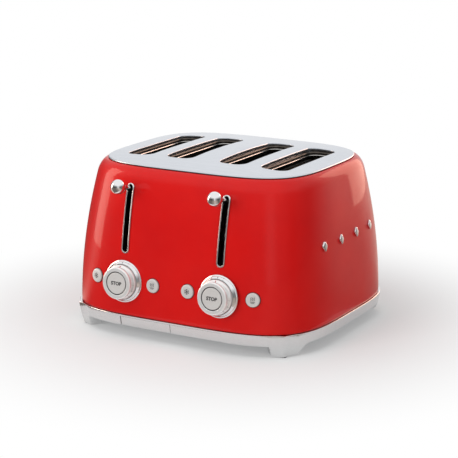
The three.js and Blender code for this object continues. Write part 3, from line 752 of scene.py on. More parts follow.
# ---- The casing's form ----------------------------------------------------------------------


@dataclass(frozen=True)
class CaseForm:
    """The leaning superellipse that every outer piece follows.

    At height z the plan is |x/a|^n + |y/b|^n = 1, where a and b shrink with the square of the
    share of the height, and n falls evenly. Over the shoulder's height both lose
    inset (1 - sqrt(1 - t^2)) more, where t rises from 0 to 1.
    """

    width: float
    depth: float
    low: float
    high: float
    shift: float
    top_width: float = 288.4
    top_depth: float = 242.0
    shoulder: float = 15.0
    inset: float = 7.2
    low_power: float = 4.1
    high_power: float = 3.8

    @staticmethod
    def from_frame() -> "CaseForm":
        """Reads the casing's size and place from its node's box.

        Returns:
            The form.
        """
        low, high = node_box("case_shell")
        size, middle = high - low, (high + low) / 2
        return CaseForm(size[0], size[1], low[2], high[2], middle[1])

    def plan(self, z: np.ndarray, grow: float = 0.0) -> tuple:
        """Half width, half depth and power at a height.

        Args:
            z: Heights.
            grow: How far the plan is grown outwards.

        Returns:
            The three arrays.
        """
        share = np.clip((np.asarray(z, float) - self.low) / (self.high - self.low), 0, 1)
        lean = share**2
        turn = np.clip(1 - (self.high - np.asarray(z, float)) / self.shoulder, 0, 1)
        grow = grow - self.inset * (1 - np.sqrt(1 - turn**2))
        a = (self.width + (self.top_width - self.width) * lean) / 2 + grow
        b = (self.depth + (self.top_depth - self.depth) * lean) / 2 + grow
        return a, b, self.low_power + (self.high_power - self.low_power) * share

    def outline(self, t: np.ndarray, z: np.ndarray, grow: float = 0.0) -> np.ndarray:
        """Points (a cos^(2/n) t, b sin^(2/n) t, z) of the surface, keeping the signs.

        Args:
            t: The superellipse's parameter.
            z: Heights.
            grow: How far the surface is grown outwards.

        Returns:
            Array of shape (..., 3).
        """
        a, b, n = self.plan(z, grow)
        x = a * signed_power(np.cos(t), 2 / n)
        y = b * signed_power(np.sin(t), 2 / n) + self.shift
        return np.stack(np.broadcast_arrays(x, y, np.asarray(z, float)), axis=-1)

    def front(self, x: np.ndarray, z: np.ndarray, grow: float = 0.0) -> np.ndarray:
        """The front face's y: -b (1 - |x/a|^n)^(1/n).

        Args:
            x: Places across the face.
            z: Heights.
            grow: How far the surface is grown outwards.

        Returns:
            Array of y.
        """
        a, b, n = self.plan(z, grow)
        inside = np.clip(1 - np.abs(np.asarray(x, float) / a) ** n, 0, 1)
        return self.shift - b * inside ** (1 / n)

    def side(self, y: np.ndarray, z: np.ndarray, grow: float = 0.0) -> np.ndarray:
        """The right-hand face's x, with y counted from the casing's middle.

        Args:
            y: Places along the face, from the casing's middle.
            z: Heights.
            grow: How far the surface is grown outwards.

        Returns:
            Array of x.
        """
        a, b, n = self.plan(z, grow)
        inside = np.clip(1 - np.abs(np.asarray(y, float) / b) ** n, 0, 1)
        return a * inside ** (1 / n)

    def front_frame(self, x: float, z: float, follows_plan: bool) -> Frame:
        """A frame standing on the front face.

        Args:
            x: Where it stands.
            z: Its height.
            follows_plan: Whether it turns with the face in plan as well as leaning with it.

        Returns:
            The frame, whose third axis is the outward normal.
        """
        step = 0.5
        slope_x = float(self.front(x + step, z) - self.front(x - step, z)) / (2 * step)
        slope_z = float(self.front(x, z + step) - self.front(x, z - step)) / (2 * step)
        outward = np.array([slope_x if follows_plan else 0.0, -1.0, slope_z])
        outward /= np.linalg.norm(outward)
        right = np.cross([0.0, 0.0, 1.0], outward)
        right /= np.linalg.norm(right)
        origin = np.array([x, float(self.front(x, z)), z])
        return Frame(origin, np.array([right, np.cross(outward, right), outward]))


# ---- Casing and top -------------------------------------------------------------------------


@dataclass
class Casing:
    """The enamelled shell, with an opening behind each lever trim and each dial's bezel."""

    form: CaseForm
    control_x: float
    dial_z: float
    dial_bore: float = 12.0
    slot_half_width: float = 3.9
    slot_low: float = 103.6
    slot_high: float = 181.7
    wall: float = 1.2
    rim: float = 8.0

    def rows(self) -> tuple:
        """Heights and inward offsets of the grid's rows.

        The wall's rows end exactly at the lever slots' ends. The shoulder's rows stand at
        even turns round its quarter ellipse, and go on as the flange under the top panel.

        Returns:
            Arrays of heights and offsets.
        """
        f = self.form
        wall = np.concatenate(
            [
                [f.low, f.low + 0.3],
                np.linspace(f.low + 1.2, self.slot_low, 22),
                np.linspace(self.slot_low, self.slot_high, 24)[1:],
                np.linspace(self.slot_high, f.high - f.shoulder, 3)[1:],
            ]
        )
        roll = np.linspace(0, math.pi / 2, 18)[1:]
        z = np.concatenate([wall, f.high - f.shoulder * (1 - np.sin(roll)), [f.high, f.high]])
        grow = np.zeros(len(z))
        grow[:2] = [-0.5, -0.12]
        grow[-2:] = [-5.0, -self.rim]
        return z, grow

    def columns(self, z: np.ndarray) -> tuple:
        """Where the grid's columns stand on the front, as x at each height.

        Between the corners, where x = a / 2^(1/n), the columns are spread evenly in spans
        that end at the slots' edges, so that the edges are straight lines.

        Args:
            z: The rows' heights.

        Returns:
            An array of x with a row for each height, and the indices of each slot's edges.
        """
        a, _, n = self.form.plan(z)
        corner = a * 0.5 ** (1 / n)
        w = self.slot_half_width
        edges = [-self.control_x - w, -self.control_x + w, self.control_x - w, self.control_x + w]
        level = np.ones_like(z)
        knots = [-corner, *(edge * level for edge in edges), corner]
        counts = [16, 3, 24, 3, 16]
        spans = [
            start[:, None] + (end - start)[:, None] * np.linspace(0, 1, count, endpoint=False)
            for start, end, count in zip(knots, knots[1:], counts)
        ]
        starts = np.cumsum([0, *counts])
        return np.concatenate(spans, axis=1), [(starts[1], starts[2]), (starts[3], starts[4])]

    def surface(self) -> Surface:
        """The shell as an open grid without the quads behind the trims and bezels.

        Returns:
            The open surface, whose wall is added inwards.
        """
        f = self.form
        z, grow = self.rows()
        front_x, slots = self.columns(z)
        a, b, n = f.plan(z)
        corner_y = b * 0.5 ** (1 / n)
        even = np.linspace(-1, 1, 56, endpoint=False)
        side_y = corner_y[:, None] * even
        back_x = -(a * 0.5 ** (1 / n))[:, None] * np.linspace(-1, 1, 64, endpoint=False)
        zs = z[:, None]
        front = np.stack([front_x, f.front(front_x, zs) - f.shift, front_x * 0 + zs], -1)
        right = np.stack([f.side(side_y, zs), side_y, side_y * 0 + zs], -1)
        back = np.stack([back_x, f.shift - f.front(back_x, zs), back_x * 0 + zs], -1)
        left = np.stack([-f.side(side_y, zs), -side_y, side_y * 0 + zs], -1)
        points = np.concatenate([front, right, back, left], axis=1)
        shrink = np.stack([(a + grow) / a, (b + grow) / b, np.ones_like(z)], -1)
        points = points * shrink[:, None, :]
        points[..., 1] += f.shift
        quads = grid_faces(len(z), points.shape[1], wrap_cols=True)
        keep = np.ones(quads.shape[:2], bool)
        low, high = (int(np.argmin(np.abs(z - edge))) for edge in (self.slot_low, self.slot_high))
        for start, end in slots:
            keep[low:high, start:end] = False
        middle = points.reshape(-1, 3)[quads].mean(axis=-2)
        for side in Side:
            reach = np.hypot(middle[..., 0] - side.value * self.control_x, middle[..., 2] - self.dial_z)
            keep &= (reach > self.dial_bore) | (middle[..., 1] > f.shift)
        return Surface(points.reshape(-1, 3), quads[keep])

    def build(self, shop: Workshop) -> None:
        """Makes the shell.

        Args:
            shop: The workshop.
        """
        shop.piece("enamel_casing", self.surface(), "red_enamel", "body", "red_enamel",
                   ["case_shell"], sharp=50, wall=self.wall)


@dataclass
class TopPanel:
    """The domed top with its bright rim and four long openings."""

    form: CaseForm
    slot_width: float = 36.0
    slot_length: float = 138.0
    corner: float = 12.0
    crown: float = 5.9
    rise: float = 2.2
    lip: float = 6.0
    roll: float = 0.9
    bars: tuple = (12.0, 8.0)

    def centres(self) -> list:
        """The openings' x, from the bread racks under them."""
        boxes = [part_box(f"bread_rack_{i}") for i in range(1, 5)]
        return [float((low.x + high.x) / 2 / MM) for low, high in boxes]

    def dome(self, x: np.ndarray, y: np.ndarray) -> np.ndarray:
        """The dome's height: edge + crown (1 - s^2), where s is the superelliptic radius.

        Args:
            x: Places across.
            y: Places along.

        Returns:
            Array of heights.
        """
        a, b, n = self.form.plan(self.form.high)
        s = (np.abs(x / a) ** n + np.abs((y - self.form.shift) / b) ** n) ** (1 / n)
        return self.form.high + self.rise + self.crown * (1 - np.minimum(s, 1) ** 2)

    def run(self, half: float, deep: float, radius: float, middle: int) -> np.ndarray:
        """The lower side of a rounded rectangle, from one corner's middle towards the next.

        Half of each corner's arc belongs to the side: the points go round 45 degrees, along
        the straight, and round 45 degrees more.

        Args:
            half: Half of the side's length.
            deep: Half of the other side's length.
            radius: The corners' radius.
            middle: Points along the straight.

        Returns:
            The points, without the last, which starts the next side.
        """
        angle = np.linspace(-0.75 * math.pi, -0.5 * math.pi, 7)
        lead = radius * np.stack([np.cos(angle), np.sin(angle)], 1) + [radius - half, radius - deep]
        straight = np.linspace(radius - half, half - radius, middle + 2)[1:-1]
        tail = lead[::-1] * [-1, 1]
        return np.concatenate([lead, np.stack([straight, straight * 0 - deep], 1), tail])[:-1]

    def opening(self, centre: float, grow: float) -> np.ndarray:
        """An opening's outline, anticlockwise from its lower left corner's middle.

        Args:
            centre: The opening's x.
            grow: How far the outline is grown.

        Returns:
            Array of shape (points, 2).
        """
        w, h = self.slot_width / 2 + grow, self.slot_length / 2 + grow
        r = self.corner + grow
        turns = []
        for turn, (half, deep, middle) in enumerate([(w, h, 2), (h, w, 24)] * 2):
            angle = turn * math.pi / 2
            c, s = round(math.cos(angle)), round(math.sin(angle))
            turns.append(self.run(half, deep, r, middle) @ np.array([[c, s], [-s, c]]))
        return np.concatenate(turns) + [centre, self.form.shift]

    def weights(self) -> tuple:
        """Shares of the way along a short and a long side at which its points stand.

        Returns:
            The shares for the short side and for the long side.
        """
        shares = []
        for half, deep, middle in ((self.slot_width / 2, self.slot_length / 2, 2),
                                   (self.slot_length / 2, self.slot_width / 2, 24)):
            run = self.run(half, deep, self.corner, middle)
            run = np.concatenate([run, run[:1] * [-1, 1]])
            length = np.concatenate([[0], np.cumsum(np.linalg.norm(np.diff(run, axis=0), axis=1))])
            shares.append(length[:-1] / length[-1])
        return tuple(shares)

    def cell(self, left: float, right: float, reach: float) -> np.ndarray:
        """A rectangle's outline whose points pair off with an opening's.

        Args:
            left: Its lowest x.
            right: Its highest x.
            reach: Half of its length in y.

        Returns:
            Array of shape (points, 2).
        """
        short, long = self.weights()
        low, high = self.form.shift - reach, self.form.shift + reach
        xs, ys = left + (right - left) * short, low + (high - low) * long
        back_x, back_y = right + (left - right) * short, high + (low - high) * long
        return np.concatenate(
            [
                np.stack([xs, xs * 0 + low], 1),
                np.stack([ys * 0 + right, ys], 1),
                np.stack([back_x, back_x * 0 + high], 1),
                np.stack([back_y * 0 + left, back_y], 1),
            ]
        )

    def surface(self) -> Surface:
        """The panel: a ring of quads round each opening, and one more out to the rim.

        Rows run from an opening's lip, over its rolled edge and along straight lines to its
        cell. The outer ring's rows go along rays from the middle to the rim and over it.

        Returns:
            The open surface.
        """
        xs = self.centres()
        reach, end = self.slot_length / 2 + self.bars[0], self.slot_width / 2 + self.bars[1]
        borders = [xs[0] - end, (xs[0] + xs[1]) / 2, 0.0, (xs[2] + xs[3]) / 2, xs[3] + end]
        roll = self.roll
        wall = [(0.0, -self.lip), (0.0, -roll - 0.8)]
        for turn in np.linspace(math.pi / 2, 0, 6):
            wall.append((roll * (1 - math.sin(turn)), -roll * (1 - math.cos(turn))))
        parts = []
        for x, left, right in zip(xs, borders, borders[1:]):
            rows = []
            for grow, drop in wall:
                line = self.opening(x, grow)
                rows.append(np.column_stack([line, self.dome(*line.T) + drop]))
            start, stop = self.opening(x, roll), self.cell(left, right, reach)
            for share in (0.15, 0.4, 0.7, 1.0):
                line = start + (stop - start) * share
                rows.append(np.column_stack([line, self.dome(*line.T)]))
            parts.append(Surface.grid(np.stack(rows), wrap_cols=True))
        parts.append(self.skirt(borders, reach))
        return parts[0].joined(*parts[1:])

    def skirt(self, borders: Sequence[float], reach: float) -> Surface:
        """The part of the panel between the cells and the rim, with the rolled rim itself.

        Args:
            borders: The cells' borders in x.
            reach: Half of the cells' length in y.

        Returns:
            The open surface.
        """
        shift = self.form.shift
        short, long = self.weights()
        xs = np.concatenate([left + (right - left) * short for left, right in zip(borders, borders[1:])])
        ys = shift + reach * (2 * long - 1)
        pairs = zip(borders[-2::-1], borders[:0:-1])
        back = np.concatenate([right + (left - right) * short for left, right in pairs])
        inner = np.concatenate(
            [
                np.stack([xs, xs * 0 + shift - reach], 1),
                np.stack([ys * 0 + borders[-1], ys], 1),
                np.stack([back, back * 0 + shift + reach], 1),
                np.stack([ys * 0 + borders[0], 2 * shift - ys], 1),
            ]
        )
        a, b, n = self.form.plan(self.form.high)
        offset = inner - [0, shift]
        radius = (np.abs(offset[:, 0] / a) ** n + np.abs(offset[:, 1] / b) ** n) ** (1 / n)
        outer = offset / radius[:, None]
        rows = []
        for share in np.linspace(0, 1, 7):
            line = offset + (outer * 0.972 - offset) * share + [0, shift]
            rows.append(np.column_stack([line, self.dome(*line.T)]))
        top = rows[-1][:, 2]
        for scale, drop in ((0.979, 0.05), (0.986, -0.08), (0.9915, -0.3), (0.9955, -0.65),
                            (0.9975, -1.0), (0.998, -1.3), (0.996, -1.45), (0.985, -1.45)):
            rows.append(np.column_stack([outer * scale + [0, shift], top + drop]))
        return Surface.grid(np.stack(rows), wrap_cols=True)

    def wire(self, x: float, z: float, radius: float = 0.55) -> Surface:
        """The bright wire that edges a liner: a tube along the opening's outline.

        Args:
            x: The opening's centre.
            z: The wire's height.
            radius: The tube's radius.

        Returns:
            The closed surface.
        """
        loops = []
        for turn in np.linspace(0, 2 * math.pi, 8, endpoint=False):
            line = self.opening(x, radius * math.cos(turn) - radius - 0.2)
            loops.append(np.column_stack([line, np.full(len(line), z + radius * math.sin(turn))]))
        return Surface.grid(np.stack(loops, axis=1), wrap_rows=True, wrap_cols=True)

    def gasket(self) -> Surface:
        """A dark ring between the panel's rim and the shell, painted shade for the gap there: a square ring
        in plan.

        Returns:
            The closed surface.
        """
        t = np.linspace(0, 2 * math.pi, 160, endpoint=False)
        high = self.form.high
        section = [(-3.5, high + 0.1), (-0.75, high + 0.1), (-0.75, high + 1.15), (-3.5, high + 1.15)]
        loops = [self.form.outline(t, t * 0 + high, grow) * [1, 1, 0] + [0, 0, z] for grow, z in section]
        return Surface.grid(np.stack(loops, axis=1), wrap_rows=True, wrap_cols=True)

    def build(self, shop: Workshop) -> None:
        """Makes the panel, a dark band under its rim that is painted shade for the gap there, and liners
        inside its openings whose near-black steel is painted shade.

        Args:
            shop: The workshop.
        """
        shop.piece("domed_top", self.surface(), "brushed_top", "body", "brushed_top",
                   ["top_panel"], sharp=60, wall=1.0)
        floor = float(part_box("well_plate")[1].z) / MM
        for index, x in enumerate(self.centres(), 1):
            line = self.opening(x, -0.15)
            tall = float(self.dome(np.array(x), np.array(self.form.shift))) - self.lip + 1.0
            rows = [np.column_stack([line, line[:, 0] * 0 + z]) for z in (tall, tall - 2, floor + 0.4)]
            # The liners' near-black finish is painted shade inside the slots.
            shop.piece(f"slot_liner_{index}", Surface.grid(np.stack(rows), wrap_cols=True),
                       "liner_steel", "body", "galvanised", wall=-0.5)
            shop.piece(f"slot_wire_{index}", self.wire(x, tall - 4.2), "wire", "body", "chrome")
        # A dark rubber-finished band: painted shade for the gap under the panel's rim.
        shop.piece("panel_gasket", self.gasket(), "rubber", "body", "rubber", sharp=40)


# ---- Base -----------------------------------------------------------------------------------


@dataclass
class BaseRing:
    """The bright ring, open at the front for the crumb trays, with its four creased feet."""

    form: CaseForm
    proud: float = 2.0
    top: float = 27.7
    bottom: float = 14.3
    foot: float = 0.9
    lean: float = 5.2
    wall: float = 3.4
    foot_wall: float = 12.0
    crease: float = 0.2
    sag: float = 0.9
    dense: float = 0.42
    bend: float = 1.4
    window: float = 69.3
    lintel: float = 1.6
    front_foot: tuple = (124.6, 129.2)
    side_foot: tuple = (94.0, 112.5)

    def plan_point(self, t: np.ndarray, grow: np.ndarray) -> np.ndarray:
        """The ring's plan: the casing's, with two shallow hollow facets at each corner.

        Outside the facets the point is (a cos^(2/n) t, b sin^(2/n) t). On a facet it runs from
        the superellipse to the tip where the tangents at the facets' ends meet, with a sag of
        4 u (1 - u) towards the middle.

        Args:
            t: The superellipse's parameter.
            grow: How far the plan is grown outwards.

        Returns:
            Array of shape (..., 2), without the shift in y.
        """
        t, grow = np.broadcast_arrays(np.asarray(t, float), np.asarray(grow, float))
        a, b, n = self.form.plan(self.form.low)
        a, b = a + self.proud + grow, b + self.proud + grow

        def ellipse(at: np.ndarray) -> np.ndarray:
            """The superellipse's points at these parameters."""
            return np.stack([a * signed_power(np.cos(at), 2 / n), b * signed_power(np.sin(at), 2 / n)], -1)

        corner = np.floor(t / (math.pi / 2)) * math.pi / 2 + math.pi / 4
        off = t - corner
        ends = [ellipse(corner - self.crease), ellipse(corner + self.crease)]
        normals = [
            np.stack([np.sign(e[..., 0]) * np.abs(e[..., 0] / a) ** (n - 1) / a,
                      np.sign(e[..., 1]) * np.abs(e[..., 1] / b) ** (n - 1) / b], -1)
            for e in ends
        ]
        reach = [np.sum(e * m, -1) for e, m in zip(ends, normals)]
        (m0, m1), (r0, r1) = normals, reach
        det = m0[..., 0] * m1[..., 1] - m1[..., 0] * m0[..., 1]
        tip_x = (r0 * m1[..., 1] - r1 * m0[..., 1]) / det
        tip_y = (m0[..., 0] * r1 - m1[..., 0] * r0) / det
        tip = np.stack([tip_x, tip_y], -1)
        u = np.clip(1 - np.abs(off) / self.crease, 0, 1)[..., None]
        end = np.where((off < 0)[..., None], ends[0], ends[1])
        straight = end + (tip - end) * u
        sag = self.sag * 4 * u * (1 - u)
        inward = -tip / np.linalg.norm(tip, axis=-1, keepdims=True)
        return np.where(np.abs(off)[..., None] < self.crease, straight + inward * sag, ellipse(t))

    def parameters(self) -> np.ndarray:
        """The columns' parameters: even steps, closer at the corners and at the feet's flanks.

        Returns:
            Array of parameters, once round.
        """
        quarter = np.concatenate(
            [
                np.linspace(0, math.pi / 4 - self.dense, 16, endpoint=False),
                np.linspace(math.pi / 4 - self.dense, math.pi / 4, 60, endpoint=False),
                np.linspace(math.pi / 4, math.pi / 4 + self.dense, 60, endpoint=False),
                np.linspace(math.pi / 4 + self.dense, math.pi / 2, 16, endpoint=False),
            ]
        )
        return np.concatenate([quarter + k * math.pi / 2 for k in range(4)])

    def lower_edge(self, x: np.ndarray, y: np.ndarray) -> tuple:
        """The lower edge's height, and how far a column is into a foot.

        Going along the front, the edge falls from the ring's to the foot's bottom as a steep
        S. Along a side it falls as a longer one, hollow at first. A point is in a foot by the
        smaller of the two shares.

        Args:
            x: The column's x.
            y: The column's y, from the casing's middle.

        Returns:
            Arrays of heights and shares.
        """
        def ease(value: np.ndarray, start: float, end: float) -> np.ndarray:
            """A smooth step from 0 at start to 1 at end."""
            u = np.clip((np.abs(value) - start) / (end - start), 0, 1)
            return u * u * (3 - 2 * u)

        front = ease(x, *self.front_foot)
        side = ease(y, *self.side_foot) ** 1.6
        share = np.minimum(front, side)
        return self.bottom + (self.foot - self.bottom) * share, share

    def section(self, z_top: float) -> Surface:
        """The whole ring as a closed tube of sections.

        A section goes down the outer face, under the lower edge and up the inner face. The
        face leans in with the 1.4th power of the way down.

        Args:
            z_top: The height of the ring's upper edge.

        Returns:
            The closed surface.
        """
        t = self.parameters()
        mid = self.plan_point(t, 0.0)
        low, share = self.lower_edge(mid[:, 0], mid[:, 1])
        thick = self.wall + (self.foot_wall - self.wall) * np.clip(share * 30, 0, 1)
        rows = []
        lips = [(0.0, -0.7), (0.0, -0.2), (0.25, 0.0), (0.8, 0.0)]
        for drop, inset in lips:
            rows.append((z_top - drop + low * 0, inset + low * 0))
        for v in np.linspace(0.08, 0.96, 7):
            rows.append((z_top - 0.8 + (low - z_top + 0.8) * v, low * 0))
        rows.append((low + 0.12, low * 0 - 0.12))
        rows.append((low, low * 0 - 0.5))
        rows.append((low, -thick))
        rows.append((low + 0.5, -thick - 0.4))
        rows.append((z_top - 5 + low * 0, -thick - 0.4))
        rows.append((z_top - 4 + low * 0, low * 0 - self.wall))
        rows.append((z_top + low * 0, low * 0 - self.wall))
        points = []
        for z, inset in rows:
            down = np.clip((self.top - z) / self.top, 0, 1) ** self.bend
            xy = self.plan_point(t, inset - self.lean * down)
            points.append(np.column_stack([xy[:, 0], xy[:, 1] + self.form.shift, z]))
        return Surface.grid(np.stack(points), wrap_rows=True, wrap_cols=True)

    def build(self, shop: Workshop) -> None:
        """Makes the ring and cuts the crumb trays' window out of it.

        Args:
            shop: The workshop.
        """
        made = shop.piece("base_band", self.section(self.top), "base_metal", "body", "chrome",
                          ["base_ring"], sharp=28)
        reach = self.window
        cutter = box_surface((-reach, -200.0, -5.0), (reach, -100.0, self.top - self.lintel))
        cut_away(made, [cutter])


@dataclass
class CrumbTray:
    """One crumb tray: a front that continues the ring, and a shallow pan."""

    ring: BaseRing
    side: Side
    recess: float = 1.1
    thickness: float = 2.4
    sheet: float = 0.9

    def front(self, box_low: np.ndarray, box_high: np.ndarray) -> Surface:
        """The tray's front: the ring's face, set back and cut to the tray's width.

        Args:
            box_low: The tray node's lowest corner.
            box_high: Its highest corner.

        Returns:
            A closed tube of sections, capped at both ends.
        """
        ring = self.ring
        x = np.linspace(box_low[0], box_high[0], 40)
        a, b, n = ring.form.plan(ring.form.low)
        outer_a, outer_b = a + ring.proud, b + ring.proud
        z_low, z_high = box_low[2], box_high[2]
        section = rounded([[0, z_low], [0, z_high], [-self.thickness, z_high], [-self.thickness, z_low]],
                          0.5, 3, closed=True)
        down = np.clip((ring.top - section[:, 1]) / ring.top, 0, 1) ** ring.bend
        grow = section[:, 0] - self.recess - ring.lean * down
        depth = outer_b + grow
        inside = np.clip(1 - np.abs(x[:, None] / (outer_a + grow)) ** n, 0, 1)
        y = ring.form.shift - depth * inside ** (1 / n)
        points = np.stack(np.broadcast_arrays(x[:, None], y, section[:, 1]), -1)
        return Surface.grid(points, wrap_cols=True, capped=True)

    def pan(self, box_low: np.ndarray, box_high: np.ndarray) -> Surface:
        """The pan as one sheet: rim, walls and floor along a rounded rectangle.

        Args:
            box_low: The tray node's lowest corner.
            box_high: Its highest corner.

        Returns:
            The open surface, whose wall is added inwards.
        """
        form = self.ring.form
        front_y = form.shift - form.depth / 2 + 1.4
        x0, x1 = box_low[0] + 0.5, box_high[0] - 0.5
        floor = float(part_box("bottom_plate")[0].z) / MM + 1.7
        rim = floor + 7.9
        corners = [[x0, front_y], [x1, front_y], [x1, box_high[1]], [x0, box_high[1]]]
        outline = rounded(corners, 3.0, 5, closed=True)
        centre = outline.mean(axis=0)
        rows = [(0.9, rim), (0.0, rim), (0.0, floor + 1.2), (0.35, floor + 0.35), (1.2, floor), (20, floor)]
        points = []
        for inset, z in rows:
            pull = np.clip(1 - inset / np.maximum(np.abs(outline - centre), 1e-6), 0, 1)
            points.append(np.column_stack([centre + (outline - centre) * pull, np.full(len(outline), z)]))
        made = Surface.grid(np.stack(points), wrap_cols=True)
        last = (np.arange(len(outline)) + (len(rows) - 1) * len(outline)).tolist()
        return Surface(made.points, made.quads, [last])

    def build(self, shop: Workshop) -> None:
        """Makes the tray's front and pan.

        Args:
            shop: The workshop.
        """
        node = f"crumb_tray_{self.side.word}"
        low, high = node_box(node)
        shop.piece(f"{node}_front", self.front(low, high), "base_metal", node, "brushed_top",
                   [node], sharp=30)
        shop.piece(f"{node}_pan", self.pan(low, high), "galvanised", node, "brushed_top", [node],
                   sharp=40, wall=self.sheet)


# ---- Levers ---------------------------------------------------------------------------------


@dataclass
class Lever:
    """One lever: the trim round its slot, and the ball on its flared neck."""

    form: CaseForm
    side: Side
    x: float
    width: float = 10.8
    bore: float = 7.0
    low: float = 101.6
    high: float = 183.7
    proud: float = 1.5
    tilt: float = 13.0
    stem: float = 2.8
    neck: float = 13.2
    flare: float = -0.52

    def trim(self) -> Surface:
        """The trim: a rounded bead along a stadium that lies on the casing's face.

        The stadium's centre line is walked in (x, z). At each point the section's first
        coordinate goes outwards in that plane and its second along the face's y.

        Returns:
            The closed surface.
        """
        r = (self.width + self.bore) / 4
        z0, z1 = self.low + self.width / 2, self.high - self.width / 2
        turn = np.linspace(0, math.pi, 24)
        rise = np.linspace(z0, z1, 40)[1:-1]
        x = np.concatenate([r * np.cos(turn), rise * 0 - r, -r * np.cos(turn), rise * 0 + r])
        z = np.concatenate([z1 + r * np.sin(turn), rise[::-1], z0 - r * np.sin(turn), rise])
        out_x = np.concatenate([np.cos(turn), rise * 0 - 1, -np.cos(turn), rise * 0 + 1])
        out_z = np.concatenate([np.sin(turn), rise * 0, -np.sin(turn), rise * 0])
        half = (self.width - self.bore) / 4
        corners = [[-half, -3.6], [-half, self.proud * 0.8], [-half * 0.2, self.proud],
                   [half * 0.5, self.proud * 0.9], [half, 0.35], [half - 0.3, 0.3],
                   [-half + 0.6, -0.5], [-half + 0.6, -3.6]]
        section = rounded(corners, 0.7, 3, closed=True)
        px = self.x + x[:, None] + out_x[:, None] * section[:, 0]
        pz = z[:, None] + out_z[:, None] * section[:, 0]
        py = self.form.front(px, pz) - section[:, 1]
        return Surface.grid(np.stack([px, py, pz], -1), wrap_rows=True, wrap_cols=True)

    def ball(self) -> Surface:
        """The stem, neck and ball, turned about the stem's tilted axis.

        Returns:
            The closed surface.
        """
        low, high = node_box(f"lever_knob_{self.side.word}")
        radius = (high[0] - low[0]) / 2
        tilt, stem, neck = math.radians(self.tilt), self.stem, self.neck
        centre = np.array([self.x, low[1] + radius + 0.02, high[2] - radius - 0.02])
        length = (high[1] - centre[1]) / math.cos(tilt) - 0.7
        outward = np.array([0.0, -math.cos(tilt), math.sin(tilt)])
        right = np.array([1.0, 0.0, 0.0])
        frame = Frame(centre, np.array([right, np.cross(outward, right), outward]))
        rod = [[0, -length], [stem - 0.3, -length], [stem, -length + 0.4], [stem, -neck]]
        u = np.linspace(0, 1, 14)[1:]
        start = self.flare
        neck_r = stem + (radius * math.cos(start) - stem) * (3 * u**2 - 2 * u**3) ** 0.8
        neck_h = -neck + (neck + radius * math.sin(start)) * u
        ball = np.linspace(start + 0.06, math.pi / 2, 26)
        globe = np.stack([radius * np.cos(ball), radius * np.sin(ball)], 1)
        return turned(np.concatenate([rod, np.stack([neck_r, neck_h], 1), globe]), frame, 72)

    def build(self, shop: Workshop) -> None:
        """Makes the trim and the lever's ball.

        Args:
            shop: The workshop.
        """
        word = self.side.word
        shop.piece(f"slot_trim_{word}", self.trim(), "chrome", "body", "chrome",
                   [f"lever_trim_{word}"], sharp=50)
        shop.piece(f"ball_lever_{word}", self.ball(), "chrome", f"carriage_{word}", "chrome",
                   [f"lever_knob_{word}"], sharp=50)


# ---- Dials and buttons ----------------------------------------------------------------------


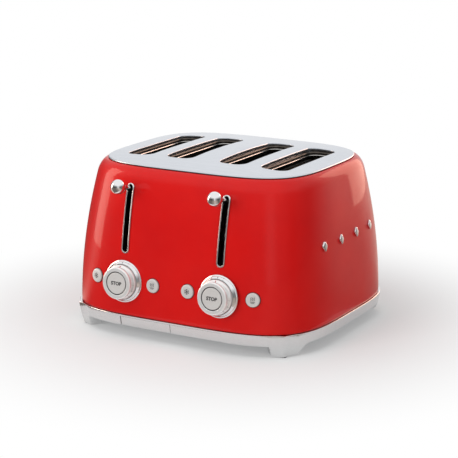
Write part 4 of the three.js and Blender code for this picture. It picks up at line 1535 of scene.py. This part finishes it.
@dataclass
class Dial:
    """One browning dial: bezel, numbered dial and the stop button in its middle."""

    form: CaseForm
    side: Side
    x: float
    z: float
    bezel: float = 25.4
    skirt: float = 20.4
    grip: float = 17.2
    rim: float = 19.2
    height: float = 17.4
    stop: float = 12.8
    hub: float = 6.8
    slope: float = 1.3
    settings: int = 6
    first: float = 1.62
    step: float = 0.42
    digit: float = 2.7
    dot: float = 4.0
    dot_turn: float = 0.2
    mark_place: tuple = (18.75, 9.03)
    word_size: float = 5.8
    tick: tuple = (0.84, 0.14)

    def bezel_profile(self) -> np.ndarray:
        """The bezel's closed profile: a bright ring with a shallow well for the dial.

        Returns:
            The profile, as (radius, level).
        """
        r, b, lip = self.bezel, self.hub + 0.35, self.skirt + 0.45
        corners = [[b, -5.5], [b + 1.5, -5.5], [b + 1.5, 0.3], [r - 0.2, 0.3], [r, 0.5], [r, 1.5],
                   [r - 0.5, 2.1], [r - 1.7, 2.7], [r - 1.9, 3.3], [lip + 1.0, 5.0], [lip + 0.6, 5.55],
                   [lip, 5.5], [lip - 0.05, 2.4], [b, 2.25]]
        return rounded(corners, 0.4, 4, closed=True)

    def dial_profile(self) -> np.ndarray:
        """The dial's closed profile: hub, numbered skirt, waisted grip and bright front ring.

        Returns:
            The profile, as (radius, level).
        """
        h, s, g = self.height, self.stop, self.grip
        corners = [[3.6, -11.5], [self.hub, -11.5], [self.hub, 2.7], [self.skirt - 0.3, 2.7],
                   [self.skirt, 3.0], [self.skirt, 7.6], [self.skirt - 0.4, 8.3], [g + 0.2, 9.6],
                   [g, 10.1], [g, h - 5.2], [self.rim - 0.1, h - 3.7], [self.rim, h - 1.1],
                   [self.rim - 1.1, h - 0.15], [self.rim - 2.2, h], [s + 1.5, h - 0.1], [s + 1.15, h - 0.6],
                   [s + 1.1, h - 5.8], [3.6, h - 5.8]]
        return rounded(corners, 0.6, 4, closed=True)

    def stop_profile(self) -> np.ndarray:
        """The stop button's profile, with a faintly dished face.

        Returns:
            The open profile, as (radius, level).
        """
        top, r = self.height - 0.3, self.stop
        corners = [[0, -13.5], [3.2, -13.5], [3.2, top - 3.0], [r - 0.1, top - 3.0], [r, top - 2.8],
                   [r, top - 0.5], [r - 0.7, top], [r - 2.0, top - 0.12], [r * 0.5, top - 0.3],
                   [0, top - 0.35]]
        return rounded(corners, 0.45, 4)

    def numerals(self, frame: Frame) -> Surface:
        """Numbers and dots along the sloping skirt, clockwise from the index.

        Args:
            frame: The dial's frame.

        Returns:
            The raised marks as one surface.
        """
        marks = []
        slope = math.atan2(self.slope, self.skirt - self.grip)
        c, s = math.cos(slope), math.sin(slope)
        lean = np.array([[1, 0, 0], [0, c, -s], [0, s, c]])
        for index in range(self.settings):
            for text, size, turn in ((str(index + 1), self.digit, 0.0), (".", self.dot, self.dot_turn)):
                angle = -(index * self.step + self.first + turn)
                spun = frame.spun(angle).shifted(0, *self.mark_place)
                marks.append(lettering(text, size, 0.16, Frame(spun.origin, lean @ spun.axes)))
        return marks[0].joined(*marks[1:])

    def build(self, shop: Workshop) -> None:
        """Makes the bezel, the dial, the stop button, their marks, and a ring of painted shade round the
        button.

        Args:
            shop: The workshop.
        """
        word = self.side.word
        frame = self.form.front_frame(self.x, self.z, False)
        dial, stop = f"browning_dial_{word}", f"stop_button_{word}"
        shop.piece(f"bezel_{word}", turned(self.bezel_profile(), frame, 120, closed=True), "chrome",
                   "body", "chrome", [f"dial_bezel_{word}"], sharp=60)
        shop.piece(f"dial_{word}", turned(self.dial_profile(), frame, 120, closed=True), "dial_metal",
                   dial, "satin_chrome", [dial], sharp=60)
        shop.piece(f"stop_cap_{word}", turned(self.stop_profile(), frame, 96), "satin_chrome",
                   stop, "satin_chrome", [stop], sharp=60)
        # A near-black ring in the groove round the stop button: painted shade for the gap between button
        # and dial.
        groove = rounded([[self.stop + 0.06, -2.9], [self.stop + 1.09, -2.9], [self.stop + 1.09, -1.0],
                          [self.stop + 0.06, -1.0]], 0.05, 2, closed=True) + [0, self.height]
        shop.piece(f"stop_gap_{word}", turned(groove, frame, 96, closed=True), "ink", dial, "rubber")
        shop.piece(f"dial_numbers_{word}", self.numerals(frame), "ink", dial, "rubber")
        face = frame.shifted(0, -0.3, self.height - 0.3 - 0.33 + 0.08)
        shop.piece(f"stop_word_{word}", lettering("STOP", self.word_size, 0.2, face, 0.035),
                   "ink", stop, "rubber")
        for name, inner, outer, finish, rides in (
            (f"index_mark_{word}", (self.skirt + 1.6, 4.85), (self.bezel - 2.3, 3.6), "ink", "body"),
            (f"dial_pointer_{word}", (self.grip + 0.7, 9.5), (self.skirt - 0.7, 8.5), "red_ink", dial),
        ):
            width, height = self.tick
            low = np.array([[-width / 2, *inner], [-width / 2, *outer]])
            up, across = np.array([0, 0, height]), np.array([width, 0, 0])
            corners = np.stack([low, low + across, low + across + up, low + up], axis=1)
            mark = Surface.grid(frame.world(corners), wrap_cols=True, capped=True)
            shop.piece(name, mark, finish, rides, "rubber")


class Icon(Enum):
    """The two functions marked on the push buttons."""

    DEFROST = "defrost"
    REHEAT = "reheat"

    def strokes(self) -> list:
        """The sign's strokes, as polylines of (right, up).

        Returns:
            The polylines.
        """
        if self is Icon.DEFROST:
            arms = []
            for angle in np.arange(3) * math.pi / 3 + math.pi / 6:
                along = np.array([math.cos(angle), math.sin(angle)])
                across = np.array([-along[1], along[0]])
                arms.append(np.array([-3.1 * along, 3.1 * along]))
                for end in (-along, along):
                    tip = 2.0 * end
                    arms.append(np.array([tip + (end + across) * 0.9, tip, tip + (end - across) * 0.9]))
            return arms
        rise = np.linspace(-0.6, 3.4, 13)
        waves = [np.stack([offset + 0.45 * np.sin(rise * 2.6), rise], 1) for offset in (-1.9, 0.0, 1.9)]
        return waves + [np.array([[-2.9, -2.0], [2.9, -2.0]]), np.array([[-2.1, -3.2], [2.1, -3.2]])]


@dataclass
class PushButton:
    """One round function button with its sign, and a dark ring round it that is painted shade for its gap.
    """

    form: CaseForm
    side: Side
    icon: Icon
    x: float
    z: float
    radius: float = 8.2
    height: float = 2.5
    stroke: float = 0.6

    def profile(self, back: float) -> np.ndarray:
        """The button's profile: stem, flange behind the casing, and softly crowned cap.

        Args:
            back: The level of the stem's end.

        Returns:
            The open profile.
        """
        r, h = self.radius, self.height
        corners = [[0, back], [3, back], [3, -4.0], [r + 1.0, -4.0], [r + 1.0, -3.1], [r, -3.0],
                   [r, h - 0.9], [r - 0.8, h - 0.15], [r - 2.4, h], [0, h]]
        return rounded(corners, 0.5, 4)

    def build(self, shop: Workshop) -> None:
        """Makes the cap, the ring of painted shade in its gap, and its sign.

        Args:
            shop: The workshop.
        """
        node = f"{self.icon.value}_button_{self.side.word}"
        frame = self.form.front_frame(self.x, self.z, True)
        shop.piece(f"{node}_cap", turned(self.profile(-5.0), frame, 72), "satin_chrome", node,
                   "satin_chrome", [node], sharp=60)
        # A near-black ring in the gap round the cap: painted shade.
        ring = rounded([[self.radius + 0.22, -1.2], [self.radius + 0.75, -1.2], [self.radius + 0.75, 0.42],
                        [self.radius + 0.22, 0.42]], 0.15, 3, closed=True)
        shop.piece(f"{node}_gap", turned(ring, frame, 72, closed=True), "rubber", "body", "rubber")
        low, high = self.height - 0.05, self.height + 0.12
        parts = [strip(line, self.stroke / 2, low, high, frame) for line in self.icon.strokes()]
        shop.piece(f"{node}_sign", parts[0].joined(*parts[1:]), "ink", node, "rubber")


@dataclass
class SideStud:
    """One plain stud of trim on the right-hand side."""

    form: CaseForm
    node: str
    half: tuple = (4.8, 6.8)
    proud: float = 3.0

    def surface(self) -> Surface:
        """A lozenge with a chamfered top: rings of its outline, drawn in as they rise.

        Returns:
            The closed surface.
        """
        low, high = node_box(self.node)
        y0, z0 = (low[1] + high[1]) / 2, (low[2] + high[2]) / 2
        w, h = self.half
        outline = rounded([[-w, 0], [0, -h], [w, 0], [0, h]], 2.4, 6, closed=True)
        top = self.proud
        steps = ((0.0, 0.35), (0.0, top - 1.1), (0.25, top - 0.55), (1.5, top - 0.1), (1.8, top - 0.05))
        rings = []
        for inset, level in steps:
            scale = 1 - inset / np.array([w, h])
            y, z = (outline * scale + [y0, z0]).T
            rings.append(np.stack([self.form.side(y - self.form.shift, z) + level, y, z], 1))
        return Surface.grid(np.stack(rings), wrap_cols=True, capped=True)

    def build(self, shop: Workshop) -> None:
        """Makes the stud.

        Args:
            shop: The workshop.
        """
        shop.piece(f"side_stud_{self.node[-1]}", self.surface(), "chrome", "body", "chrome",
                   [self.node], sharp=24)


# ---- Insides --------------------------------------------------------------------------------


@dataclass
class HeaterWinding:
    """The flat resistance ribbon wound round one heater card."""

    card: str
    turns: int = 17
    width: float = 1.3
    thickness: float = 0.14

    def surface(self) -> Surface:
        """A ribbon round the card: down one face, under it, up the other and over the top.

        Each turn's corners stand at the card's four edges, a ribbon's thickness proud of it,
        and every second corner is one half pitch further along y.

        Returns:
            The closed surface.
        """
        low, high = node_box(self.card)
        x0, x1 = low[0] - 0.25, high[0] + 0.25
        z0, z1 = low[2] - 0.3, high[2] + 0.3
        steps = np.arange(self.turns * 4)
        y = low[1] + 10 + (high[1] - low[1] - 20) * (steps // 2) / (self.turns * 2 - 1)
        x = np.where(np.isin(steps % 4, (0, 1)), x0, x1)
        z = np.where(np.isin(steps % 4, (1, 2)), z0, z1)
        w, t = self.width / 2, self.thickness
        out = np.where(x < (x0 + x1) / 2, -t, t)
        up = np.where(z < (z0 + z1) / 2, -t, t)
        section = [np.stack([x, y - w, z], 1), np.stack([x + out, y - w, z + up], 1),
                   np.stack([x + out, y + w, z + up], 1), np.stack([x, y + w, z], 1)]
        return Surface.grid(np.stack(section, 1), wrap_cols=True, capped=True)

    def build(self, shop: Workshop) -> None:
        """Makes the winding."""
        shop.piece(f"{self.card}_winding", self.surface(), "nichrome", "body", "mica", sharp=30)


@dataclass
class UndersideScrews:
    """Cross-head screws that hold the floor plate."""

    form: CaseForm
    radius: float = 3.6

    def surface(self, x: float, y: float, z: float) -> Surface:
        """One pan-head screw, looked at from below, with a raised cross in its recess.

        Args:
            x: Its place in x.
            y: Its place in y.
            z: The level of the plate's underside.

        Returns:
            The closed surface.
        """
        frame = Frame(np.array([x, y, z]), np.array([[1.0, 0, 0], [0, -1.0, 0], [0, 0, -1.0]]))
        r = self.radius
        head = [[0, -0.6], [r, -0.6], [r, 0.5], [r * 0.7, 1.3], [r * 0.45, 1.5], [r * 0.4, 0.9], [0, 0.9]]
        parts = [turned(rounded(head, 0.4, 3), frame, 32)]
        for line in ([[-1.3, 0], [1.3, 0]], [[0, -1.3], [0, 1.3]]):
            parts.append(strip(line, 0.28, 0.85, 1.2, frame))
        return parts[0].joined(*parts[1:])

    def build(self, shop: Workshop) -> None:
        """Makes the screws.

        Args:
            shop: The workshop.
        """
        z = float(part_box("bottom_plate")[0].z) / MM
        half, deep = self.form.width / 2 - 30, self.form.depth / 2 - 34
        places = [(sx * half, sy * deep) for sx in (-1, 1) for sy in (-0.45, 0.45)]
        places += [(-60, deep), (60, deep)]
        screws = [self.surface(x, y + self.form.shift, z) for x, y in places]
        shop.piece("floor_screws", screws[0].joined(*screws[1:]), "spring_steel", "body",
                   "galvanised", sharp=40)


class InnerWorks:
    """Finishes for the frame's own nodes that show as they are."""

    FINISHES = {
        "well_plate": "galvanised",
        "bottom_plate": "galvanised",
        "front_chassis_plate": "galvanised",
        "rear_chassis_plate": "galvanised",
        "cord_gland": "rubber",
        "foot_pad": "rubber",
        "control_board": "board",
        "carriage": "galvanised",
        "guide_rod": "spring_steel",
        "return_spring": "spring_steel",
        "electromagnet": "copper",
        "bread_rack": "spring_steel",
        "bread_guide": "spring_steel",
        "heater_card": "mica",
    }

    def build(self, shop: Workshop, nodes: dict) -> None:
        """Dresses every node whose name starts with one of the keys.

        Args:
            shop: The workshop.
            nodes: The frame's nodes by name.
        """
        for name, node in nodes.items():
            for start, finish in self.FINISHES.items():
                if name.startswith(start):
                    shop.dress(node, finish)


# ---- Studio ---------------------------------------------------------------------------------


@dataclass(frozen=True)
class SoftBox:
    """One soft box: where it stands, what it faces, its size and its power."""

    name: str
    place: tuple
    size: tuple
    power: float
    aim: tuple = (0.0, 0.0, 0.12)
    mirrored: bool = True
    lights: bool = True
    colour: tuple = (1.0, 1.0, 1.0)

    def build(self) -> None:
        """Hangs the light, turned towards its aim."""
        data = bpy.data.lights.new(self.name, "AREA")
        data.shape = "RECTANGLE"
        data.size, data.size_y = self.size
        data.energy = self.power
        data.color = self.colour
        light = linked(self.name, data)
        point_at(light, self.place, self.aim)
        light.visible_camera = False
        light.visible_glossy = self.mirrored
        light.visible_diffuse = self.lights


def point_at(thing: bpy.types.Object, place: Sequence[float], aim: Sequence[float]) -> None:
    """Stands a camera or light at a place and turns its -Z towards an aim.

    Args:
        thing: The camera or light.
        place: Where it stands, in metres.
        aim: What it looks at, in metres.
    """
    thing.location = place
    direction = Vector(aim) - Vector(place)
    thing.rotation_euler = direction.to_track_quat("-Z", "Y").to_euler()


def staged(name: str, points: np.ndarray, material: bpy.types.Material) -> bpy.types.Object:
    """Adds a closed ring of surface to the stage.

    Args:
        name: Its name.
        points: Its grid of points, in metres, whose last column joins the first.
        material: Its material.

    Returns:
        The object.
    """
    surface = Surface.grid(points, wrap_cols=True)
    mesh = bpy.data.meshes.new(name)
    mesh.from_pydata(surface.points.tolist(), [], surface.quads.tolist())
    mesh.materials.append(material)
    made = linked(name, mesh)
    return made


@dataclass(frozen=True)
class Screen:
    """A ring of cloth outside the picture, which gives the metal light and dark to mirror.

    Its tone follows the direction round the toaster, and it grows white with height.
    """

    name: str
    rings: tuple
    tones: tuple
    fade: tuple = (0.8, 2.3)
    brightest: float = 1.0
    darkest: float = 0.03
    colour: tuple = (1.0, 1.0, 1.0, 1.0)

    def tone(self, s: Shader) -> bpy.types.NodeSocket:
        """How dark the cloth is: the direction's tone, fading out with height.

        Args:
            s: The screen's shader.

        Returns:
            The socket, from 0 for white to 1 for the darkest.
        """
        ring, ramp = s.node("TexGradient", gradient_type="RADIAL"), s.node("ValToRGB")
        s.link(s.place(), ring.inputs["Vector"])
        s.link(ring.outputs["Fac"], ramp.inputs["Fac"])
        stops = ramp.color_ramp
        stops.interpolation = "EASE"
        for degrees, shade in self.tones[1:-1]:
            stops.elements.new((degrees + 180) / 360).color = (shade, shade, shade, 1)
        for end in (0, -1):
            shade = self.tones[end][1]
            stops.elements[end].color = (shade, shade, shade, 1)
        parts = s.node("SeparateXYZ")
        s.link(s.place(), parts.inputs["Vector"])
        share = s.mapped(parts.outputs["Z"], self.fade, (1.0, 0.0), "SMOOTHSTEP")
        return s.maths("MULTIPLY", ramp.outputs["Color"], share)

    def build(self) -> None:
        """Hangs the cloth, seen by reflections only."""
        angle = np.linspace(0, 2 * math.pi, 128, endpoint=False)
        radius, z = np.array(self.rings).T[..., None]
        points = np.stack(np.broadcast_arrays(radius * np.cos(angle), radius * np.sin(angle), z), -1)
        s = Shader(self.name)
        glow = s.node("Emission")
        s.link(s.mapped(self.tone(s), (0.0, 1.0), (self.brightest, self.darkest)), glow.inputs["Strength"])
        glow.inputs["Color"].default_value = self.colour
        s.link(glow.outputs["Emission"], s.output.inputs["Surface"])
        made = staged(self.name, points, s.material)
        made.visible_camera = False
        made.visible_diffuse = False
        made.visible_shadow = False


@dataclass
class Studio:
    """Camera, lights, world and floor."""

    shift: float
    lens: float = 124.4
    eye: tuple = (0.9311, -1.6422, 0.5812)
    look: tuple = (0.0, 0.0, 0.0917)
    lens_shift: tuple = (-0.0061, 0.0290)
    world_light: float = 0.5
    shadow_reach: tuple = (0.18, 0.44)
    floor_glow: float = 0.22
    boxes: tuple = (
        SoftBox("overhead", (-0.1, -0.35, 1.25), (1.3, 1.0), 6.0, mirrored=False),
        SoftBox("left_strip", (-1.236, -0.462, 0.40), (0.42, 1.1), 7.0, lights=False,
                colour=(1.0, 0.78, 0.64)),
        SoftBox("rear_glow", (0.46, 1.44, 0.40), (0.75, 1.1), 9.0, lights=False,
                colour=(1.0, 0.62, 0.46)),
        SoftBox("front_fill", (-0.45, -1.6, 0.7), (0.8, 0.8), 11.0, mirrored=False),
        SoftBox("side_fill", (1.5, 0.1, 0.6), (0.6, 0.6), 2.5, mirrored=False),
    )
    screens: tuple = (
        Screen("wall_cloth", ((1.8, 0.004), (1.8, 2.3)), (
            (-180, 0.9), (-170, 0.6), (-160, 0.0), (-147, 0.9), (-100, 0.97), (-74, 0.8), (-58, 0.1),
            (-42, 0.7), (-12, 0.97), (20, 0.9), (50, 0.6), (75, 0.3), (100, 0.0), (130, 0.0), (150, 0.9),
            (180, 0.9)), fade=(0.3, 1.5)),
        Screen("floor_cloth", ((0.22, 0.004), (0.5, 0.004), (1.8, 0.004)), (
            (-180, 0.92), (-171, 0.8), (-160, 0.4), (-147, 0.93), (-100, 0.94), (-74, 0.86),
            (-58, 0.73), (-40, 0.82), (-12, 0.95), (20, 0.9), (50, 0.75), (70, 0.55), (96, 0.6),
            (101, 0.97), (142, 0.97), (180, 0.92)),
            brightest=2.2, colour=(1.0, 0.85, 0.75, 1.0)),
    )

    def camera(self) -> None:
        """Makes the camera."""
        data = bpy.data.cameras.new("camera")
        data.lens = self.lens
        data.sensor_width = 36.0
        data.shift_x, data.shift_y = self.lens_shift
        made = linked("camera", data)
        eye = (self.eye[0], self.eye[1] + self.shift, self.eye[2])
        point_at(made, eye, (self.look[0], self.look[1] + self.shift, self.look[2]))
        bpy.context.scene.camera = made

    def world(self) -> None:
        """A white world to the camera and in reflections, and a plain level of light."""
        world = bpy.data.worlds.new("studio")
        bpy.context.scene.world = world
        world.use_nodes = True
        tree = world.node_tree
        background = tree.nodes["Background"]
        path = tree.nodes.new("ShaderNodeLightPath")
        seen = tree.nodes.new("ShaderNodeMath")
        seen.operation, seen.use_clamp = "MAXIMUM", True
        through = tree.nodes.new("ShaderNodeMath")
        through.operation = "MAXIMUM"
        tree.links.new(path.outputs["Is Camera Ray"], seen.inputs[0])
        tree.links.new(path.outputs["Is Glossy Ray"], seen.inputs[1])
        tree.links.new(seen.outputs[0], through.inputs[0])
        tree.links.new(path.outputs["Is Transmission Ray"], through.inputs[1])
        level = tree.nodes.new("ShaderNodeMapRange")
        level.inputs["To Min"].default_value = self.world_light
        level.inputs["To Max"].default_value = 1.0
        tree.links.new(through.outputs[0], level.inputs["Value"])
        background.inputs["Color"].default_value = (1, 1, 1, 1)
        tree.links.new(level.outputs["Result"], background.inputs["Strength"])

    def floor(self) -> None:
        """A pale floor that keeps the shadow near the toaster and fades to white."""
        angle = np.linspace(0, 2 * math.pi, 64, endpoint=False)
        radius = np.array([0.0005, 0.4, 1.0, 3.0, 12.0])[:, None]
        points = np.stack([radius * np.cos(angle), radius * np.sin(angle), radius * 0 + angle * 0], -1)
        s = Shader("floor")
        s.principled(Base_Color=(0.8, 0.8, 0.8, 1), Roughness=0.9, Specular_IOR_Level=0.0)
        glow = s.node("Emission")
        glow.inputs["Strength"].default_value = 1.0
        path, length = s.node("LightPath"), s.node("VectorMath", operation="LENGTH")
        s.link(s.place(), length.inputs[0])
        fade = s.mapped(length.outputs["Value"], self.shadow_reach, (self.floor_glow, 1.0), "SMOOTHSTEP")
        seen = s.maths("MAXIMUM", path.outputs["Is Camera Ray"], path.outputs["Is Glossy Ray"])
        mix = s.node("MixShader")
        s.link(s.maths("MULTIPLY", seen, fade), mix.inputs["Fac"])
        s.link(s.main.outputs["BSDF"], mix.inputs[1])
        s.link(glow.outputs["Emission"], mix.inputs[2])
        s.link(mix.outputs["Shader"], s.output.inputs["Surface"])
        staged("floor", points, s.material)

    def build(self) -> None:
        """Sets the stage."""
        bpy.context.scene.view_settings.view_transform = "Standard"
        self.camera()
        self.world()
        self.floor()
        for box in self.boxes:
            box.build()
        for screen in self.screens:
            screen.build()


# ---- The whole toaster ----------------------------------------------------------------------


def main() -> None:
    """Builds the sub-assemblies in order."""
    logging.basicConfig(level=logging.INFO, format="%(name)s: %(message)s", force=True)
    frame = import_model()
    form = CaseForm.from_frame()
    Studio(form.shift * MM).build()
    shop = Workshop(Palette())
    InnerWorks().build(shop, frame["nodes"])

    lever_low, lever_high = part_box("lever_knob_right")
    control_x = float(lever_low.x + lever_high.x) / 2 / MM
    Casing(form, control_x, DIAL_Z).build(shop)
    TopPanel(form).build(shop)
    ring = BaseRing(form)
    ring.build(shop)
    for side in Side:
        CrumbTray(ring, side).build(shop)
        Lever(form, side, side.value * control_x).build(shop)
        Dial(form, side, side.value * control_x, DIAL_Z).build(shop)
        for icon, step in ((Icon.DEFROST, -1), (Icon.REHEAT, 1)):
            PushButton(form, side, icon, side.value * control_x + step * BUTTON_PITCH, DIAL_Z).build(shop)
    for index in range(1, STUDS + 1):
        SideStud(form, f"badge_{index}").build(shop)
    for index in range(1, CARDS + 1):
        HeaterWinding(f"heater_card_{index}").build(shop)
    UndersideScrews(form).build(shop)

    LOG.info("%d pieces made", shop.count)


if __name__ == "__main__":
    main()
